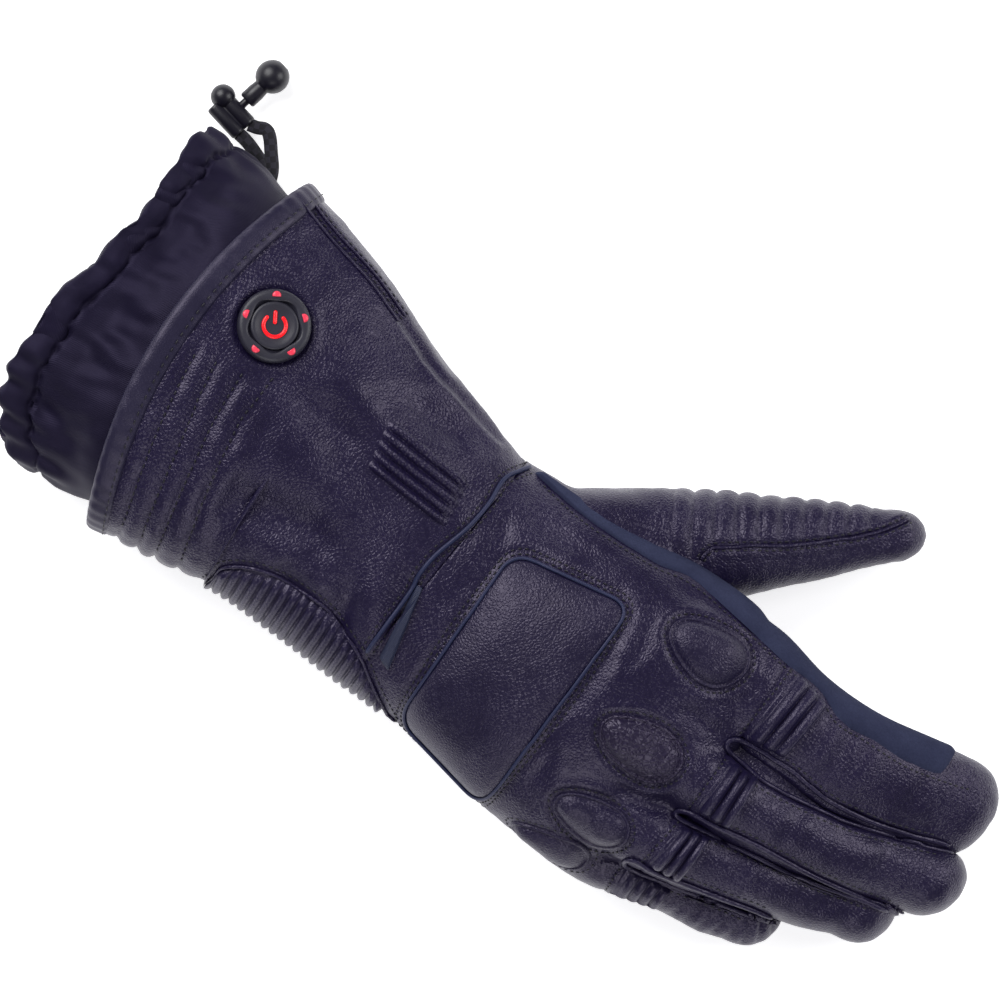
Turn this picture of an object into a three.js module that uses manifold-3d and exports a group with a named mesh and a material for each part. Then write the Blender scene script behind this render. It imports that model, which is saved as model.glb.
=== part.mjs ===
// A heated motorcycling glove for the right hand, lying palm down and keeping its form.
// Millimetres, +Z up. +X runs from the wrist to the fingertips and +Y to the thumb's side.
// The origin lies on the surface that the glove rests on, under the middle of the wrist.
import * as THREE from "three";
import { mergeVertices } from "three/addons/utils/BufferGeometryUtils.js";
import Module from "manifold-3d";

const wasm = await Module();
wasm.setup();

// Hand
const handLength = 200; // wrist to the middle fingertip
const palmWidth = 104;
const palmHeight = 58;
const wristWidth = 91;
const wristHeight = 50;
const palmWall = 3; // leather, padding and lining together
const fingerWall = 2.6;
const seamGap = 0.3; // between two pieces that are sewn together
const fingerGap = 0.8; // between two fingers that lie side by side

// Gauntlet
const wristSeam = 2.4; // where the gauntlet meets the hand, past the middle of the wrist
const gauntletLength = 98.5; // wrist to the corners of the bound edge
const gauntletWidth = 128;
const gauntletHeight = 58;
const gauntletShift = 16.8; // how far the flare leans to the thumb's side
const gauntletBow = 13; // how far the edge's middle reaches past its corners
const gauntletWall = 3;
const bindingWidth = 5.5;
const bindingThickness = 1.3;
const wellDepth = 1.2; // the button sits in a round well
const quiltDepth = 1.3;
const quiltPitch = 7;

// Gaiter
const gaiterReach = 38; // how far the hem stands out of the gauntlet's corners
const gaiterWidth = 121;
const gaiterHeight = 44;
const gaiterRoot = 42; // how far inside the gauntlet it is sewn in
const gaiterWall = 1.5;
const gatherCount = 11; // folds that the drawcord pulls the hem into
const gatherDepth = 2.4;
const gatherSwell = 1.5;

// Raised pieces on the back
const padRise = 3.3;
const padLength = 28;
const padWidth = 19.5;
const panelRise = 2.3;
const panelRim = 1.5;
const panelRimWidth = 3.2;
const suedeRise = 1.3;
const ribPitch = 3.3; // on the ribbed side panel
const ribRise = 1.9;
const ribValley = 1;
const pleatPitch = 4; // on the fingers' stretch panels
const pleatRise = 2;
const pleatValley = 1;
const shirrPitch = 4.9; // between the padded rolls over the wrist
const shirrRadius = 1.5;
const shirrBase = 1;
const pipingRadius = 1.2;
const tagRise = 1.6;
const tagWidth = 5.2;
const thumbRibPitch = 7.2;
const thumbRibRise = 0.8;

// Control button
const buttonRadius = 11.8;
const buttonHeight = 4.4; // above the floor of its well
const buttonRim = 4.2; // width of the raised rim
const buttonEdge = 0.8; // rounding of the rim
const faceThickness = 2.4;
const faceDish = 0.6;
const markerCount = 5;
const markerRadius = 1.2;
const markerRise = 0.35;
const markerDepth = 1.2;
const symbolRadius = 3.6; // of the lit power sign
const symbolStroke = 1.3;
const symbolDepth = 0.9;
const symbolRise = 0.3;
const symbolOpening = 70; // degrees left open at the top of the sign
const padFit = 0.3; // between a small part and the pocket that holds it

// Drawcord and cord lock
const cordRadius = 2;
const lockBallRadius = 5.5;
const lockKnobRadius = 4;
const lockBarrelRadius = 2.6;
const lockBarrelLength = 12.4;
const lockBarrelSpacing = 4.4; // between the two barrels that the cord runs through
const lockStemRadius = 2.9;
const lockStemLength = 6.8; // that shows between the barrels and the ball
const lockTravel = 1.6; // how far the ball can be pressed in
const lockPinRadius = 1.3;
const lockPinLength = 6;
const lockFit = 0.3; // between the pin and its bore, and past the end of each stroke

// Sides of the faceted rings
const cordSteps = 14;
const padSides = 14;
const sleeveSides = 24;
const sleeveInnerSides = 14;
const fingerSides = 12;
const fingerInnerSides = 8;

// Materials
const finish = (color, roughness, metalness = 0) =>
  new THREE.MeshStandardMaterial({ color, roughness, metalness });
const leather = finish(0x1d1b24, 0.5);
const ribbedLeather = finish(0x26242f, 0.5);
const suede = finish(0x2b3645, 0.95);
const nylon = finish(0x14121c, 0.8);
const binding = finish(0x2a2936, 0.45);
const rubber = finish(0x1c1c24, 0.6);
const mouldedPlastic = finish(0x15151a, 0.3);
const redLight = new THREE.MeshStandardMaterial({ color: 0xe01020, roughness: 0.3, emissive: 0xc00010 });

// Lofted solids

const mix = (a, b, t) => a + (b - a) * t;

// One column of a table at position t, on a smooth curve through its rows.
function column(rows, key, t) {
  const at = Math.min(Math.max(t, rows[0].along), rows[rows.length - 1].along);
  let i = 0;
  while (i < rows.length - 2 && rows[i + 1].along < at) i += 1;
  const [a, b] = [rows[i], rows[i + 1]];
  const span = b.along - a.along;
  const slope = (j) => {
    const before = rows[Math.max(j - 1, 0)];
    const after = rows[Math.min(j + 1, rows.length - 1)];
    return (after[key] - before[key]) / (after.along - before.along);
  };
  const u = (at - a.along) / span;
  const h = [2 * u ** 3 - 3 * u * u + 1, u ** 3 - 2 * u * u + u, 3 * u * u - 2 * u ** 3, u ** 3 - u * u];
  return h[0] * a[key] + h[1] * slope(i) * span + h[2] * b[key] + h[3] * slope(i + 1) * span;
}

// A solid from points and faces, turned so that its faces point out.
function solid(points, faces) {
  const position = new Float32Array(points.flatMap((p) => [p.x, p.y, p.z]));
  const corner = (k) => new THREE.Vector3(...points[k].toArray());
  const volume = faces.reduce((sum, f) => sum + corner(f[0]).dot(corner(f[1]).cross(corner(f[2]))), 0);
  const outward = volume < 0 ? faces.map((f) => [f[0], f[2], f[1]]) : faces;
  const geometry = new THREE.BufferGeometry();
  geometry.setAttribute("position", new THREE.BufferAttribute(position, 3));
  geometry.setIndex(outward.flat());
  return fromGeometry(geometry);
}

function fromGeometry(geometry) {
  const bare = geometry.clone();
  bare.deleteAttribute("normal");
  bare.deleteAttribute("uv");
  const merged = mergeVertices(bare, 1e-4);
  const vertProperties = new Float32Array(merged.attributes.position.array);
  const triVerts = new Uint32Array(merged.index.array);
  return new wasm.Manifold(new wasm.Mesh({ numProp: 3, vertProperties, triVerts }));
}

// A closed skin through rings of equal point counts, with a fan over each end.
function loft(rings) {
  const n = rings[0].length;
  const points = rings.flat();
  const faces = [];
  for (let r = 0; r < rings.length - 1; r += 1) {
    for (let k = 0; k < n; k += 1) {
      const a = r * n + k;
      const b = r * n + ((k + 1) % n);
      faces.push([a, b, a + n], [b, b + n, a + n]);
    }
  }
  [0, rings.length - 1].forEach((r, end) => {
    const middle = new THREE.Vector3();
    rings[r].forEach((p) => middle.addScaledVector(p, 1 / n));
    const hub = points.push(middle) - 1;
    for (let k = 0; k < n; k += 1) {
      const a = r * n + k;
      const b = r * n + ((k + 1) % n);
      faces.push(end ? [a, b, hub] : [b, a, hub]);
    }
  });
  return solid(points, faces);
}

// A rounded ring across X. Its lower side is flat where the section would sink into the surface.
function ring(section, grow, sides) {
  const power = 2 / (section.square ?? 2.3);
  const roll = THREE.MathUtils.degToRad(section.roll ?? 0);
  const points = [];
  for (let k = 0; k < sides; k += 1) {
    const angle = (2 * Math.PI * (k + 0.5)) / sides;
    const swell = grow + (section.swell ? section.swell(angle) : 0);
    const c = Math.sign(Math.cos(angle)) * Math.abs(Math.cos(angle)) ** power;
    const s = Math.sign(Math.sin(angle)) * Math.abs(Math.sin(angle)) ** power;
    const across = c * (section.halfWidth + swell);
    const up = s * (section.halfHeight + swell);
    const lean = (section.slant ?? 0) * c - (section.bow ?? 0) * (1 - c * c);
    points.push(
      new THREE.Vector3(
        section.x + lean + (section.ruffle ? section.ruffle(angle) : 0),
        section.y + across * Math.cos(roll) - up * Math.sin(roll),
        Math.max(section.z + across * Math.sin(roll) + up * Math.cos(roll), (section.lift ?? 0) - grow),
      ),
    );
  }
  return points;
}

// Evenly spaced values from a to b, both ends included.
const steps = (a, b, count) => Array.from({ length: count + 1 }, (_, i) => mix(a, b, i / count));

// Sleeve: the gauntlet and the palm share one skin

// Shares of the flare from the wrist (0) to the bound edge (1).
const gauntletRows = [
  { along: 0, flare: 0, shift: 0, bow: 0 },
  { along: 0.28, flare: 0.19, shift: 0.33, bow: 0 },
  { along: 0.5, flare: 0.4, shift: 0.62, bow: 0.12 },
  { along: 0.66, flare: 0.66, shift: 0.82, bow: 0.4 },
  { along: 0.83, flare: 0.84, shift: 0.91, bow: 0.75 },
  { along: 1, flare: 1, shift: 1, bow: 1 },
];

// Shares of the hand's length along, of its width to each side, and of its height.
const palmRows = [
  { along: 0, thumbSide: 0.44, farSide: 0.438, top: 0.86, bottom: -0.04, roll: 0 },
  { along: 0.15, thumbSide: 0.447, farSide: 0.47, top: 0.94, bottom: -0.05, roll: 2 },
  { along: 0.265, thumbSide: 0.452, farSide: 0.515, top: 1, bottom: -0.04, roll: 4 },
  { along: 0.35, thumbSide: 0.45, farSide: 0.54, top: 1.01, bottom: 0.03, roll: 7 },
  { along: 0.42, thumbSide: 0.447, farSide: 0.55, top: 0.985, bottom: 0.12, roll: 9 },
  { along: 0.48, thumbSide: 0.43, farSide: 0.545, top: 0.92, bottom: 0.21, roll: 10 },
];
const palmEnd = 0.545; // where the palm has rounded over between the fingers
const palmRounding = 0.44; // where that rounding begins
const knuckleSlant = 6; // how much further the palm reaches on the thumb's side
const wristSlant = 5;
const edgeLift = bindingThickness + seamGap * 1.5; // the bound edge stands on its binding
const quiltStart = 0.65; // share of the gauntlet's length at the first stitched row
const quiltRows = 4;

// Rounded welts between the stitched rows, on the little finger's side of the gauntlet.
function quiltSwell(x, angle) {
  const start = -quiltStart * gauntletLength;
  const rows = (start - x) / quiltPitch;
  if (rows <= 0 || rows >= quiltRows) return 0;
  const side = THREE.MathUtils.smoothstep(-Math.cos(angle), -0.25, 0.15);
  return side * quiltDepth * Math.abs(Math.sin(Math.PI * rows));
}

function sleeveSection(x) {
  if (x < 0) {
    const along = -x / gauntletLength;
    const flare = column(gauntletRows, "flare", along);
    return {
      x,
      y: gauntletShift * column(gauntletRows, "shift", along),
      z: mix(wristHeight, gauntletHeight, flare) * 0.47,
      halfWidth: mix(wristWidth, gauntletWidth, flare) / 2,
      halfHeight: mix(wristHeight, gauntletHeight, flare) * 0.53,
      bow: gauntletBow * column(gauntletRows, "bow", along),
      slant: wristSlant * (1 - flare),
      lift: edgeLift * THREE.MathUtils.smoothstep(along, 0.82, 1),
      square: 2.2,
      swell: (angle) => quiltSwell(x, angle),
    };
  }
  const along = x / handLength;
  const get = (key) => column(palmRows, key, along);
  const close = Math.max(0, (along - palmRounding) / (palmEnd - palmRounding));
  const round = Math.sqrt(Math.max(0, 1 - (0.82 * close) ** 2));
  const wrist = Math.min(1, along / palmRows[1].along);
  const top = mix(wristHeight, get("top") * palmHeight, wrist);
  const bottom = get("bottom") * palmHeight;
  const width = mix(wristWidth, (get("thumbSide") + get("farSide")) * palmWidth, wrist);
  return {
    x,
    y: ((get("thumbSide") - get("farSide")) * palmWidth * wrist) / 2,
    z: mix(wristHeight * 0.47, (top + bottom) / 2, wrist),
    halfWidth: (width / 2) * round,
    halfHeight: mix(wristHeight * 0.53, (top - bottom) / 2, wrist) * round,
    roll: get("roll"),
    slant: mix(wristSlant, knuckleSlant, THREE.MathUtils.smoothstep(along, 0.1, 0.4)),
    square: 2.2,
  };
}

// The gauntlet's stations: close together over the quilted rows, wide apart elsewhere.
const quiltFrom = -quiltStart * gauntletLength;
const quiltTo = quiltFrom - quiltRows * quiltPitch;
const gauntletStations = [
  ...steps(-gauntletLength, quiltTo, 2),
  ...steps(quiltTo, quiltFrom, quiltRows * 2).slice(1),
  ...steps(quiltFrom, wristSeam - seamGap / 2, 5).slice(1),
];
const palmStations = [
  ...steps(wristSeam + seamGap / 2, palmRounding * handLength, 7),
  ...steps(palmRounding * handLength, palmEnd * handLength, 4).slice(1),
];
const plainGauntletStations = [
  ...steps(-gauntletLength, quiltTo, 1),
  ...steps(quiltTo, wristSeam - seamGap / 2, 5).slice(1),
];
// How far a flat facet of the sleeve lies inside its true curve.
const facetSag = (gauntletWidth / 2) * (1 - Math.cos(Math.PI / sleeveSides));

const sleeveSkin = (stations, grow, sides = sleeveSides) =>
  loft(stations.map((x) => ring(sleeveSection(x), grow, sides)));

// A skin of the gauntlet and the palm together, standing grow off the leather.
const sleeveGrown = (grow, sides = sleeveSides) =>
  sleeveSkin([...gauntletStations, ...palmStations], grow, sides);

// The same section without the quilting, run on past both ends to make the hollow.
function sleeveHollow(stations, wall, past, sides = sleeveInnerSides) {
  const rings = stations.map((x) => ring({ ...sleeveSection(x), swell: undefined }, -wall, sides));
  const moved = (points, dx) => points.map((p) => new THREE.Vector3(p.x + dx, p.y, p.z));
  return loft([moved(rings[0], -past[0]), ...rings, moved(rings[rings.length - 1], past[1])]);
}

// Fingers

// Shares: along the finger, across the palm's width, of the palm's height, and of the finger's own size.
const fingers = {
  index: {
    base: 84, length: 111.5, width: 36, height: 34,
    rows: [
      { along: 0, y: 0.24, z: 0.62, w: 1.02, h: 1.05 },
      { along: 0.19, y: 0.235, z: 0.62, w: 1.04, h: 1.02 },
      { along: 0.37, y: 0.2, z: 0.59, w: 0.99, h: 0.94 },
      { along: 0.55, y: 0.195, z: 0.51, w: 0.98, h: 0.88 },
      { along: 0.73, y: 0.222, z: 0.39, w: 0.99, h: 0.82 },
      { along: 0.86, y: 0.25, z: 0.265, w: 0.97, h: 0.78 },
      { along: 1, y: 0.268, z: 0.2, w: 0.93, h: 0.76 },
    ],
  },
  middle: {
    base: 84, length: 116, width: 28, height: 34,
    rows: [
      { along: 0, y: -0.072, z: 0.63, w: 1.02, h: 1.05 },
      { along: 0.18, y: -0.085, z: 0.63, w: 1, h: 1.02 },
      { along: 0.35, y: -0.09, z: 0.6, w: 0.93, h: 0.94 },
      { along: 0.53, y: -0.075, z: 0.5, w: 0.9, h: 0.88 },
      { along: 0.7, y: -0.04, z: 0.38, w: 0.89, h: 0.83 },
      { along: 0.87, y: 0.015, z: 0.25, w: 0.88, h: 0.78 },
      { along: 1, y: 0.043, z: 0.2, w: 0.85, h: 0.75 },
    ],
  },
  ring: {
    base: 78, length: 108.5, width: 26, height: 31,
    rows: [
      { along: 0, y: -0.3, z: 0.58, w: 0.98, h: 0.96 },
      { along: 0.2, y: -0.318, z: 0.585, w: 0.96, h: 0.93 },
      { along: 0.39, y: -0.295, z: 0.525, w: 0.94, h: 0.91 },
      { along: 0.57, y: -0.255, z: 0.415, w: 0.91, h: 0.89 },
      { along: 0.76, y: -0.205, z: 0.315, w: 0.88, h: 0.83 },
      { along: 0.87, y: -0.17, z: 0.24, w: 0.87, h: 0.8 },
      { along: 1, y: -0.148, z: 0.19, w: 0.84, h: 0.77 },
    ],
  },
  little: {
    base: 72, length: 84.5, width: 23, height: 27,
    rows: [
      { along: 0, y: -0.44, z: 0.34, w: 0.98, h: 1 },
      { along: 0.27, y: -0.452, z: 0.325, w: 0.98, h: 0.97 },
      { along: 0.51, y: -0.408, z: 0.28, w: 0.98, h: 0.92 },
      { along: 0.74, y: -0.383, z: 0.235, w: 0.97, h: 0.88 },
      { along: 0.86, y: -0.364, z: 0.21, w: 0.94, h: 0.87 },
      { along: 1, y: -0.351, z: 0.175, w: 0.9, h: 0.84 },
    ],
  },
};
const fingerNames = Object.keys(fingers);

// A finger's half sizes fall to nothing over its rounded tip.
const tipRound = (t) => Math.sqrt(Math.max(0, 1 - Math.min(1, Math.max(0, t)) ** 2));

function fingerSection(finger, x, grow) {
  const along = (x - finger.base) / finger.length;
  const tip = finger.base + finger.length + grow;
  const roundFrom = tip - finger.width * 0.5;
  const round = tipRound(((x - roundFrom) / (tip - roundFrom)) * 0.985);
  return {
    x,
    y: column(finger.rows, "y", along) * palmWidth,
    z: column(finger.rows, "z", along) * palmHeight,
    halfWidth: ((column(finger.rows, "w", along) * finger.width) / 2 + grow) * round - grow,
    halfHeight: ((column(finger.rows, "h", along) * finger.height) / 2 + grow) * round - grow,
    square: 2.25,
  };
}

function fingerSkin(finger, grow, sides = fingerSides) {
  const tip = finger.base + finger.length + grow;
  const roundFrom = tip - finger.width * 0.5;
  const stations = [
    ...steps(finger.base, roundFrom, 6),
    ...[0.4, 0.68, 0.88, 1].map((t) => mix(roundFrom, tip, t)),
  ];
  return loft(stations.map((x) => ring(fingerSection(finger, x, grow), grow, sides)));
}

// Each finger gives way to the one before it, so that they lie side by side.
function yielding(finger, grow, sides) {
  const i = fingerNames.indexOf(finger);
  const own = fingerSkin(fingers[finger], grow, sides);
  if (i === 0) return own;
  return own.subtract(fingerSkin(fingers[fingerNames[i - 1]], fingerGap - grow));
}

// Thumb: lofted along its own axis, then turned into place

const thumbRoot = new THREE.Vector3(45, 45, 0);
const thumbAngle = 29.7;
const thumbLength = 97;
const thumbWidth = 37;
const thumbHeight = 35;
const thumbRows = [
  { along: -0.3, y: -0.14, z: 0.72, w: 0.86, h: 0.92 },
  { along: 0, y: -0.17, z: 0.7, w: 1, h: 1 },
  { along: 0.2, y: -0.155, z: 0.63, w: 0.99, h: 0.94 },
  { along: 0.46, y: -0.092, z: 0.5, w: 0.83, h: 0.8 },
  { along: 0.67, y: -0.02, z: 0.385, w: 0.65, h: 0.66 },
  { along: 0.83, y: 0.035, z: 0.315, w: 0.5, h: 0.56 },
  { along: 1, y: 0.07, z: 0.27, w: 0.42, h: 0.5 },
];
const thumbPlace = new THREE.Matrix4()
  .makeTranslation(thumbRoot)
  .multiply(new THREE.Matrix4().makeRotationZ(THREE.MathUtils.degToRad(thumbAngle)));

// Soft ribs run across the thumb's upper side.
const thumbSwell = (s, angle) =>
  Math.sin(angle) > 0 && s > 0 && s < thumbLength * 0.8
    ? thumbRibRise * Math.sin(angle) * Math.abs(Math.sin((Math.PI * s) / thumbRibPitch))
    : 0;

function thumbSkin(grow, sides, ribbed = false) {
  const tip = thumbLength + grow;
  const roundFrom = tip - thumbWidth * 0.24;
  const ribStations = steps(0, Math.floor(roundFrom / thumbRibPitch) * thumbRibPitch,
    Math.floor(roundFrom / thumbRibPitch) * 2);
  const plainStations = steps(0, roundFrom, 7);
  const stations = [
    thumbRows[0].along * thumbLength,
    ...(ribbed ? ribStations : plainStations),
    ...[0.35, 0.65, 0.88, 1].map((t) => mix(roundFrom, tip, t)),
  ];
  const rings = stations.map((s) => {
    const along = s / thumbLength;
    const round = tipRound(((s - roundFrom) / (tip - roundFrom)) * 0.985);
    const section = {
      x: s,
      y: column(thumbRows, "y", along) * thumbWidth,
      z: (column(thumbRows, "z", along) * thumbHeight),
      halfWidth: ((column(thumbRows, "w", along) * thumbWidth) / 2 + grow) * round - grow,
      halfHeight: ((column(thumbRows, "h", along) * thumbHeight) / 2 + grow) * round - grow,
      swell: ribbed ? (angle) => thumbSwell(s, angle) : undefined,
    };
    return ring(section, grow, sides).map((p) => p.applyMatrix4(thumbPlace));
  });
  return loft(rings);
}

// Hand: a hollow palm that opens into four fingers and the thumb

const thumbHollow = thumbSkin(-fingerWall, fingerInnerSides);
const palmSkin = (grow) => sleeveSkin(palmStations, grow);
const fingerSkins = fingerNames.map((name) => yielding(name, 0, fingerSides));
const fingerHollows = fingerNames.map((name) => yielding(name, -fingerWall, fingerInnerSides));
const innerPalmStations = palmStations.filter((x) => x < palmEnd * handLength - palmWall);
const palmHollow = sleeveHollow(innerPalmStations, palmWall, [6, 0]);
const largest = (piece) => piece.decompose().sort((a, b) => b.volume() - a.volume())[0];
const union = (solids) => solids.reduce((sum, s) => sum.add(s));

// Each finger is sewn to the palm at its root, where a thin gap parts them.
const fingerRoots = { index: 112, middle: 111, ring: 109, little: 103 };
const past = (piece, x) => piece.trimByPlane([1, 0, 0], x);
const before = (piece, x) => piece.trimByPlane([-1, 0, 0], -x);

const fingerStumps = fingerNames.map((name, i) => before(fingerSkins[i], fingerRoots[name]));
const fingerRoom = fingerNames.map((name) =>
  past(yielding(name, seamGap, fingerSides), fingerRoots[name]));
const palmPiece = union([palmSkin(0), ...fingerStumps])
  .subtract(union([palmHollow, ...fingerHollows, thumbHollow]))
  .subtract(union(fingerRoom));
const fingerPieces = fingerNames.map((name, i) =>
  past(fingerSkins[i], fingerRoots[name] + seamGap).subtract(fingerHollows[i]));

const thumbPiece = thumbSkin(0, fingerSides, true)
  .subtract(thumbHollow)
  .subtract(palmSkin(seamGap))
  .subtract(fingerSkin(fingers.index, seamGap))
  .decompose()
  .sort((a, b) => b.volume() - a.volume())[0];

// The assembled glove

const glove = new THREE.Group();

function toMesh(piece, material) {
  const mesh = piece.getMesh();
  const geometry = new THREE.BufferGeometry();
  geometry.setAttribute("position", new THREE.BufferAttribute(new Float32Array(mesh.vertProperties), 3));
  geometry.setIndex(new THREE.BufferAttribute(new Uint32Array(mesh.triVerts), 1));
  geometry.computeVertexNormals();
  return new THREE.Mesh(geometry, material);
}

function add(name, piece, material) {
  const part = toMesh(piece, material);
  part.name = name;
  glove.add(part);
}

add("palm", palmPiece, leather);
fingerNames.forEach((name, i) => add(name + "_finger", fingerPieces[i], leather));
add("thumb", thumbPiece, leather);

// Gauntlet, with a round well for the button

const buttonPlace = { along: -0.85, across: 0.292 }; // shares of the gauntlet's length and width
const gauntletSkin = sleeveSkin(gauntletStations, 0);
const gauntletHollow = sleeveHollow(plainGauntletStations, gauntletWall, [6, 6], sleeveSides);
const skinMesh = toMesh(sleeveGrown(0, 48));
const finderRay = new THREE.Raycaster();

// The point where the leather lies straight under x and y.
function onSkin(x, y) {
  finderRay.set(new THREE.Vector3(x, y, palmHeight * 3), new THREE.Vector3(0, 0, -1));
  return finderRay.intersectObject(skinMesh)[0].point;
}

// A frame that stands on the leather at x and y, with its Z axis out of it and its X axis along the glove.
function seatOn(x, y, reach) {
  const along = onSkin(x + reach, y).sub(onSkin(x - reach, y)).normalize();
  const across = onSkin(x, y + reach).sub(onSkin(x, y - reach)).normalize();
  const out = along.clone().cross(across).normalize();
  const frame = new THREE.Matrix4().makeBasis(along, out.clone().cross(along), out);
  return frame.setPosition(onSkin(x, y));
}

function lathe(profile, sides) {
  const geometry = new THREE.LatheGeometry(profile.map((p) => new THREE.Vector2(...p)), sides);
  return fromGeometry(geometry.rotateX(Math.PI / 2));
}
const placed = (piece, frame) => piece.transform(frame.elements);

const buttonSeat = seatOn(
  buttonPlace.along * gauntletLength,
  buttonPlace.across * gauntletWidth,
  buttonRadius,
);
const wellRadius = buttonRadius + padFit;
const wellTop = buttonHeight * 2;
const well = lathe(
  [[0, -wellDepth], [wellRadius, -wellDepth], [wellRadius, wellTop], [0, wellTop]], 32);
const gauntletPiece = gauntletSkin.subtract(gauntletHollow).subtract(placed(well, buttonSeat));
add("gauntlet", gauntletPiece, leather);

// Binding: a strip folded over the gauntlet's edge

// A closed skin through rings that run out along one side of a wall and back along the other.
function band(rings) {
  const n = rings[0].length;
  const faces = [];
  rings.forEach((_, r) => {
    const next = (r + 1) % rings.length;
    for (let k = 0; k < n; k += 1) {
      const l = (k + 1) % n;
      faces.push([r * n + k, r * n + l, next * n + k], [r * n + l, next * n + l, next * n + k]);
    }
  });
  return solid(rings.flat(), faces);
}

const bindingGap = seamGap * 1.5;
const bindingOut = bindingGap + bindingThickness;
const bindingIn = -gauntletWall - bindingOut;
const bindingSlot = bindingGap * 1.6; // past the gauntlet's edge
const bindingProfile = [
  { along: bindingWidth, out: bindingGap },
  { along: bindingWidth, out: bindingGap + bindingThickness * 0.6 },
  { along: bindingWidth * 0.5, out: bindingOut },
  { along: -seamGap, out: bindingOut },
  { along: -bindingOut, out: 0 },
  { along: -bindingOut, out: -gauntletWall },
  { along: -seamGap, out: bindingIn },
  { along: bindingWidth * 0.6, out: bindingIn },
  { along: bindingWidth * 0.6, out: -gauntletWall - bindingGap },
  { along: -bindingSlot, out: -gauntletWall - bindingGap },
  { along: -bindingSlot, out: bindingGap },
];
const bindingRings = bindingProfile.map((p) => {
  const x = p.along - gauntletLength;
  const section = sleeveSection(Math.max(x, -gauntletLength));
  return ring({ ...section, x, swell: undefined }, p.out, sleeveSides);
});
add("gauntlet_binding", band(bindingRings), binding);

// Gaiter: a soft sleeve inside the gauntlet, whose hem is gathered on a drawcord

const gaiterEdge = gaiterRoot / (gaiterRoot + gaiterReach); // share at which it leaves the gauntlet

function gaiterSection(t) {
  const x = mix(gaiterRoot - gauntletLength, -gauntletLength - gaiterReach, t);
  const inside = sleeveSection(Math.max(x, -gauntletLength));
  const clear = THREE.MathUtils.smoothstep(t, gaiterEdge * 0.4, gaiterEdge * 0.8);
  const inset = gauntletWall + seamGap + facetSag + clear * bindingOut;
  const spread = THREE.MathUtils.smoothstep(t, gaiterEdge + 0.03, gaiterEdge + 0.24);
  const drop = THREE.MathUtils.smoothstep(t, gaiterEdge + 0.03, gaiterEdge + 0.14);
  const gather = THREE.MathUtils.smoothstep(t, gaiterEdge + 0.1, 1);
  return {
    x,
    y: inside.y,
    z: mix(inside.z, gaiterHeight * 0.47, spread),
    halfWidth: mix(inside.halfWidth - inset, gaiterWidth / 2, spread),
    halfHeight: mix(inside.halfHeight - inset, gaiterHeight * 0.53, spread),
    bow: mix(inside.bow, gauntletBow * 0.85, spread),
    lift: mix(inside.lift + inset, 0, drop),
    square: 2.2,
    swell: (angle) => gatherSwell * gather * Math.cos(gatherCount * angle),
    ruffle: (angle) => -gatherDepth * gather * Math.cos(gatherCount * angle),
  };
}

const gaiterSides = gatherCount * 4;
const gaiterRing = (t, grow) => ring(gaiterSection(t), grow, gaiterSides);
const gaiterOut = [0, 0.35, gaiterEdge, gaiterEdge + 0.04, 0.66, 0.77, 0.88, 1];
const gaiterBack = [1, 0.82, 0.66, gaiterEdge + 0.04, gaiterEdge, 0.35, 0];
const gaiterRings = [
  ...gaiterOut.map((t) => gaiterRing(t, 0)),
  ...gaiterBack.map((t) => gaiterRing(t, -gaiterWall)),
];
add("gaiter", band(gaiterRings), nylon);

// Control button: a moulded rim with a lit face, pressed through its soft skin

const buttonFoot = padFit - wellDepth;
const buttonTop = buttonFoot + buttonHeight;
const faceRadius = buttonRadius - buttonRim - padFit;
const faceTop = buttonTop - padFit;
const faceFoot = faceTop - faceThickness;
const markerRing = buttonRadius - buttonRim * 0.55;
const buttonTurn = THREE.MathUtils.degToRad(119); // the sign's upright, on the glove

const rod = (radius, low, high, sides) => lathe([[0, low], [radius, low], [radius, high], [0, high]], sides);
const onFace = (piece, angle, distance) =>
  piece.translate([distance, 0, 0]).rotate([0, 0, THREE.MathUtils.radToDeg(angle)]);

const markerTurn = (2 * Math.PI) / markerCount;
const markerAngles = Array.from({ length: markerCount }, (_, i) => buttonTurn + markerTurn * i);
const buttonBlank = lathe([
  [0, buttonFoot],
  [buttonRadius, buttonFoot],
  [buttonRadius, buttonTop - buttonEdge],
  [buttonRadius - buttonEdge, buttonTop],
  [buttonRadius - buttonRim, buttonTop],
  [buttonRadius - buttonRim, faceFoot - padFit],
  [0, faceFoot - padFit],
], 32);
const markerPocket = rod(markerRadius + padFit, buttonTop - markerDepth, buttonTop + markerDepth, 12);
const buttonBody = buttonBlank.subtract(union(markerAngles.map((a) => onFace(markerPocket, a, markerRing))));
add("button_rim", placed(buttonBody, buttonSeat), rubber);

const marker = rod(markerRadius, buttonTop - markerDepth + padFit, buttonTop + markerRise, 12);
markerAngles.forEach((a, i) =>
  add("button_marker_" + (i + 1), placed(onFace(marker, a, markerRing), buttonSeat), redLight));

// The lit sign is a plain power mark: an open ring and an upright stroke.
function extruded(shape, low, high, segments = 12) {
  const settings = { depth: high - low, bevelEnabled: false, curveSegments: segments };
  return fromGeometry(new THREE.ExtrudeGeometry(shape, settings).translate(0, 0, low));
}

function signArc(grow, low, high) {
  const open = THREE.MathUtils.degToRad(symbolOpening / 2) - grow / symbolRadius;
  const half = symbolStroke / 2 + grow;
  const [start, end] = [buttonTurn + open, buttonTurn - open + 2 * Math.PI];
  const shape = new THREE.Shape();
  shape.absarc(0, 0, symbolRadius + half, start, end);
  shape.absarc(0, 0, symbolRadius - half, end, start, true);
  return extruded(shape, low, high, 10);
}

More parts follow.
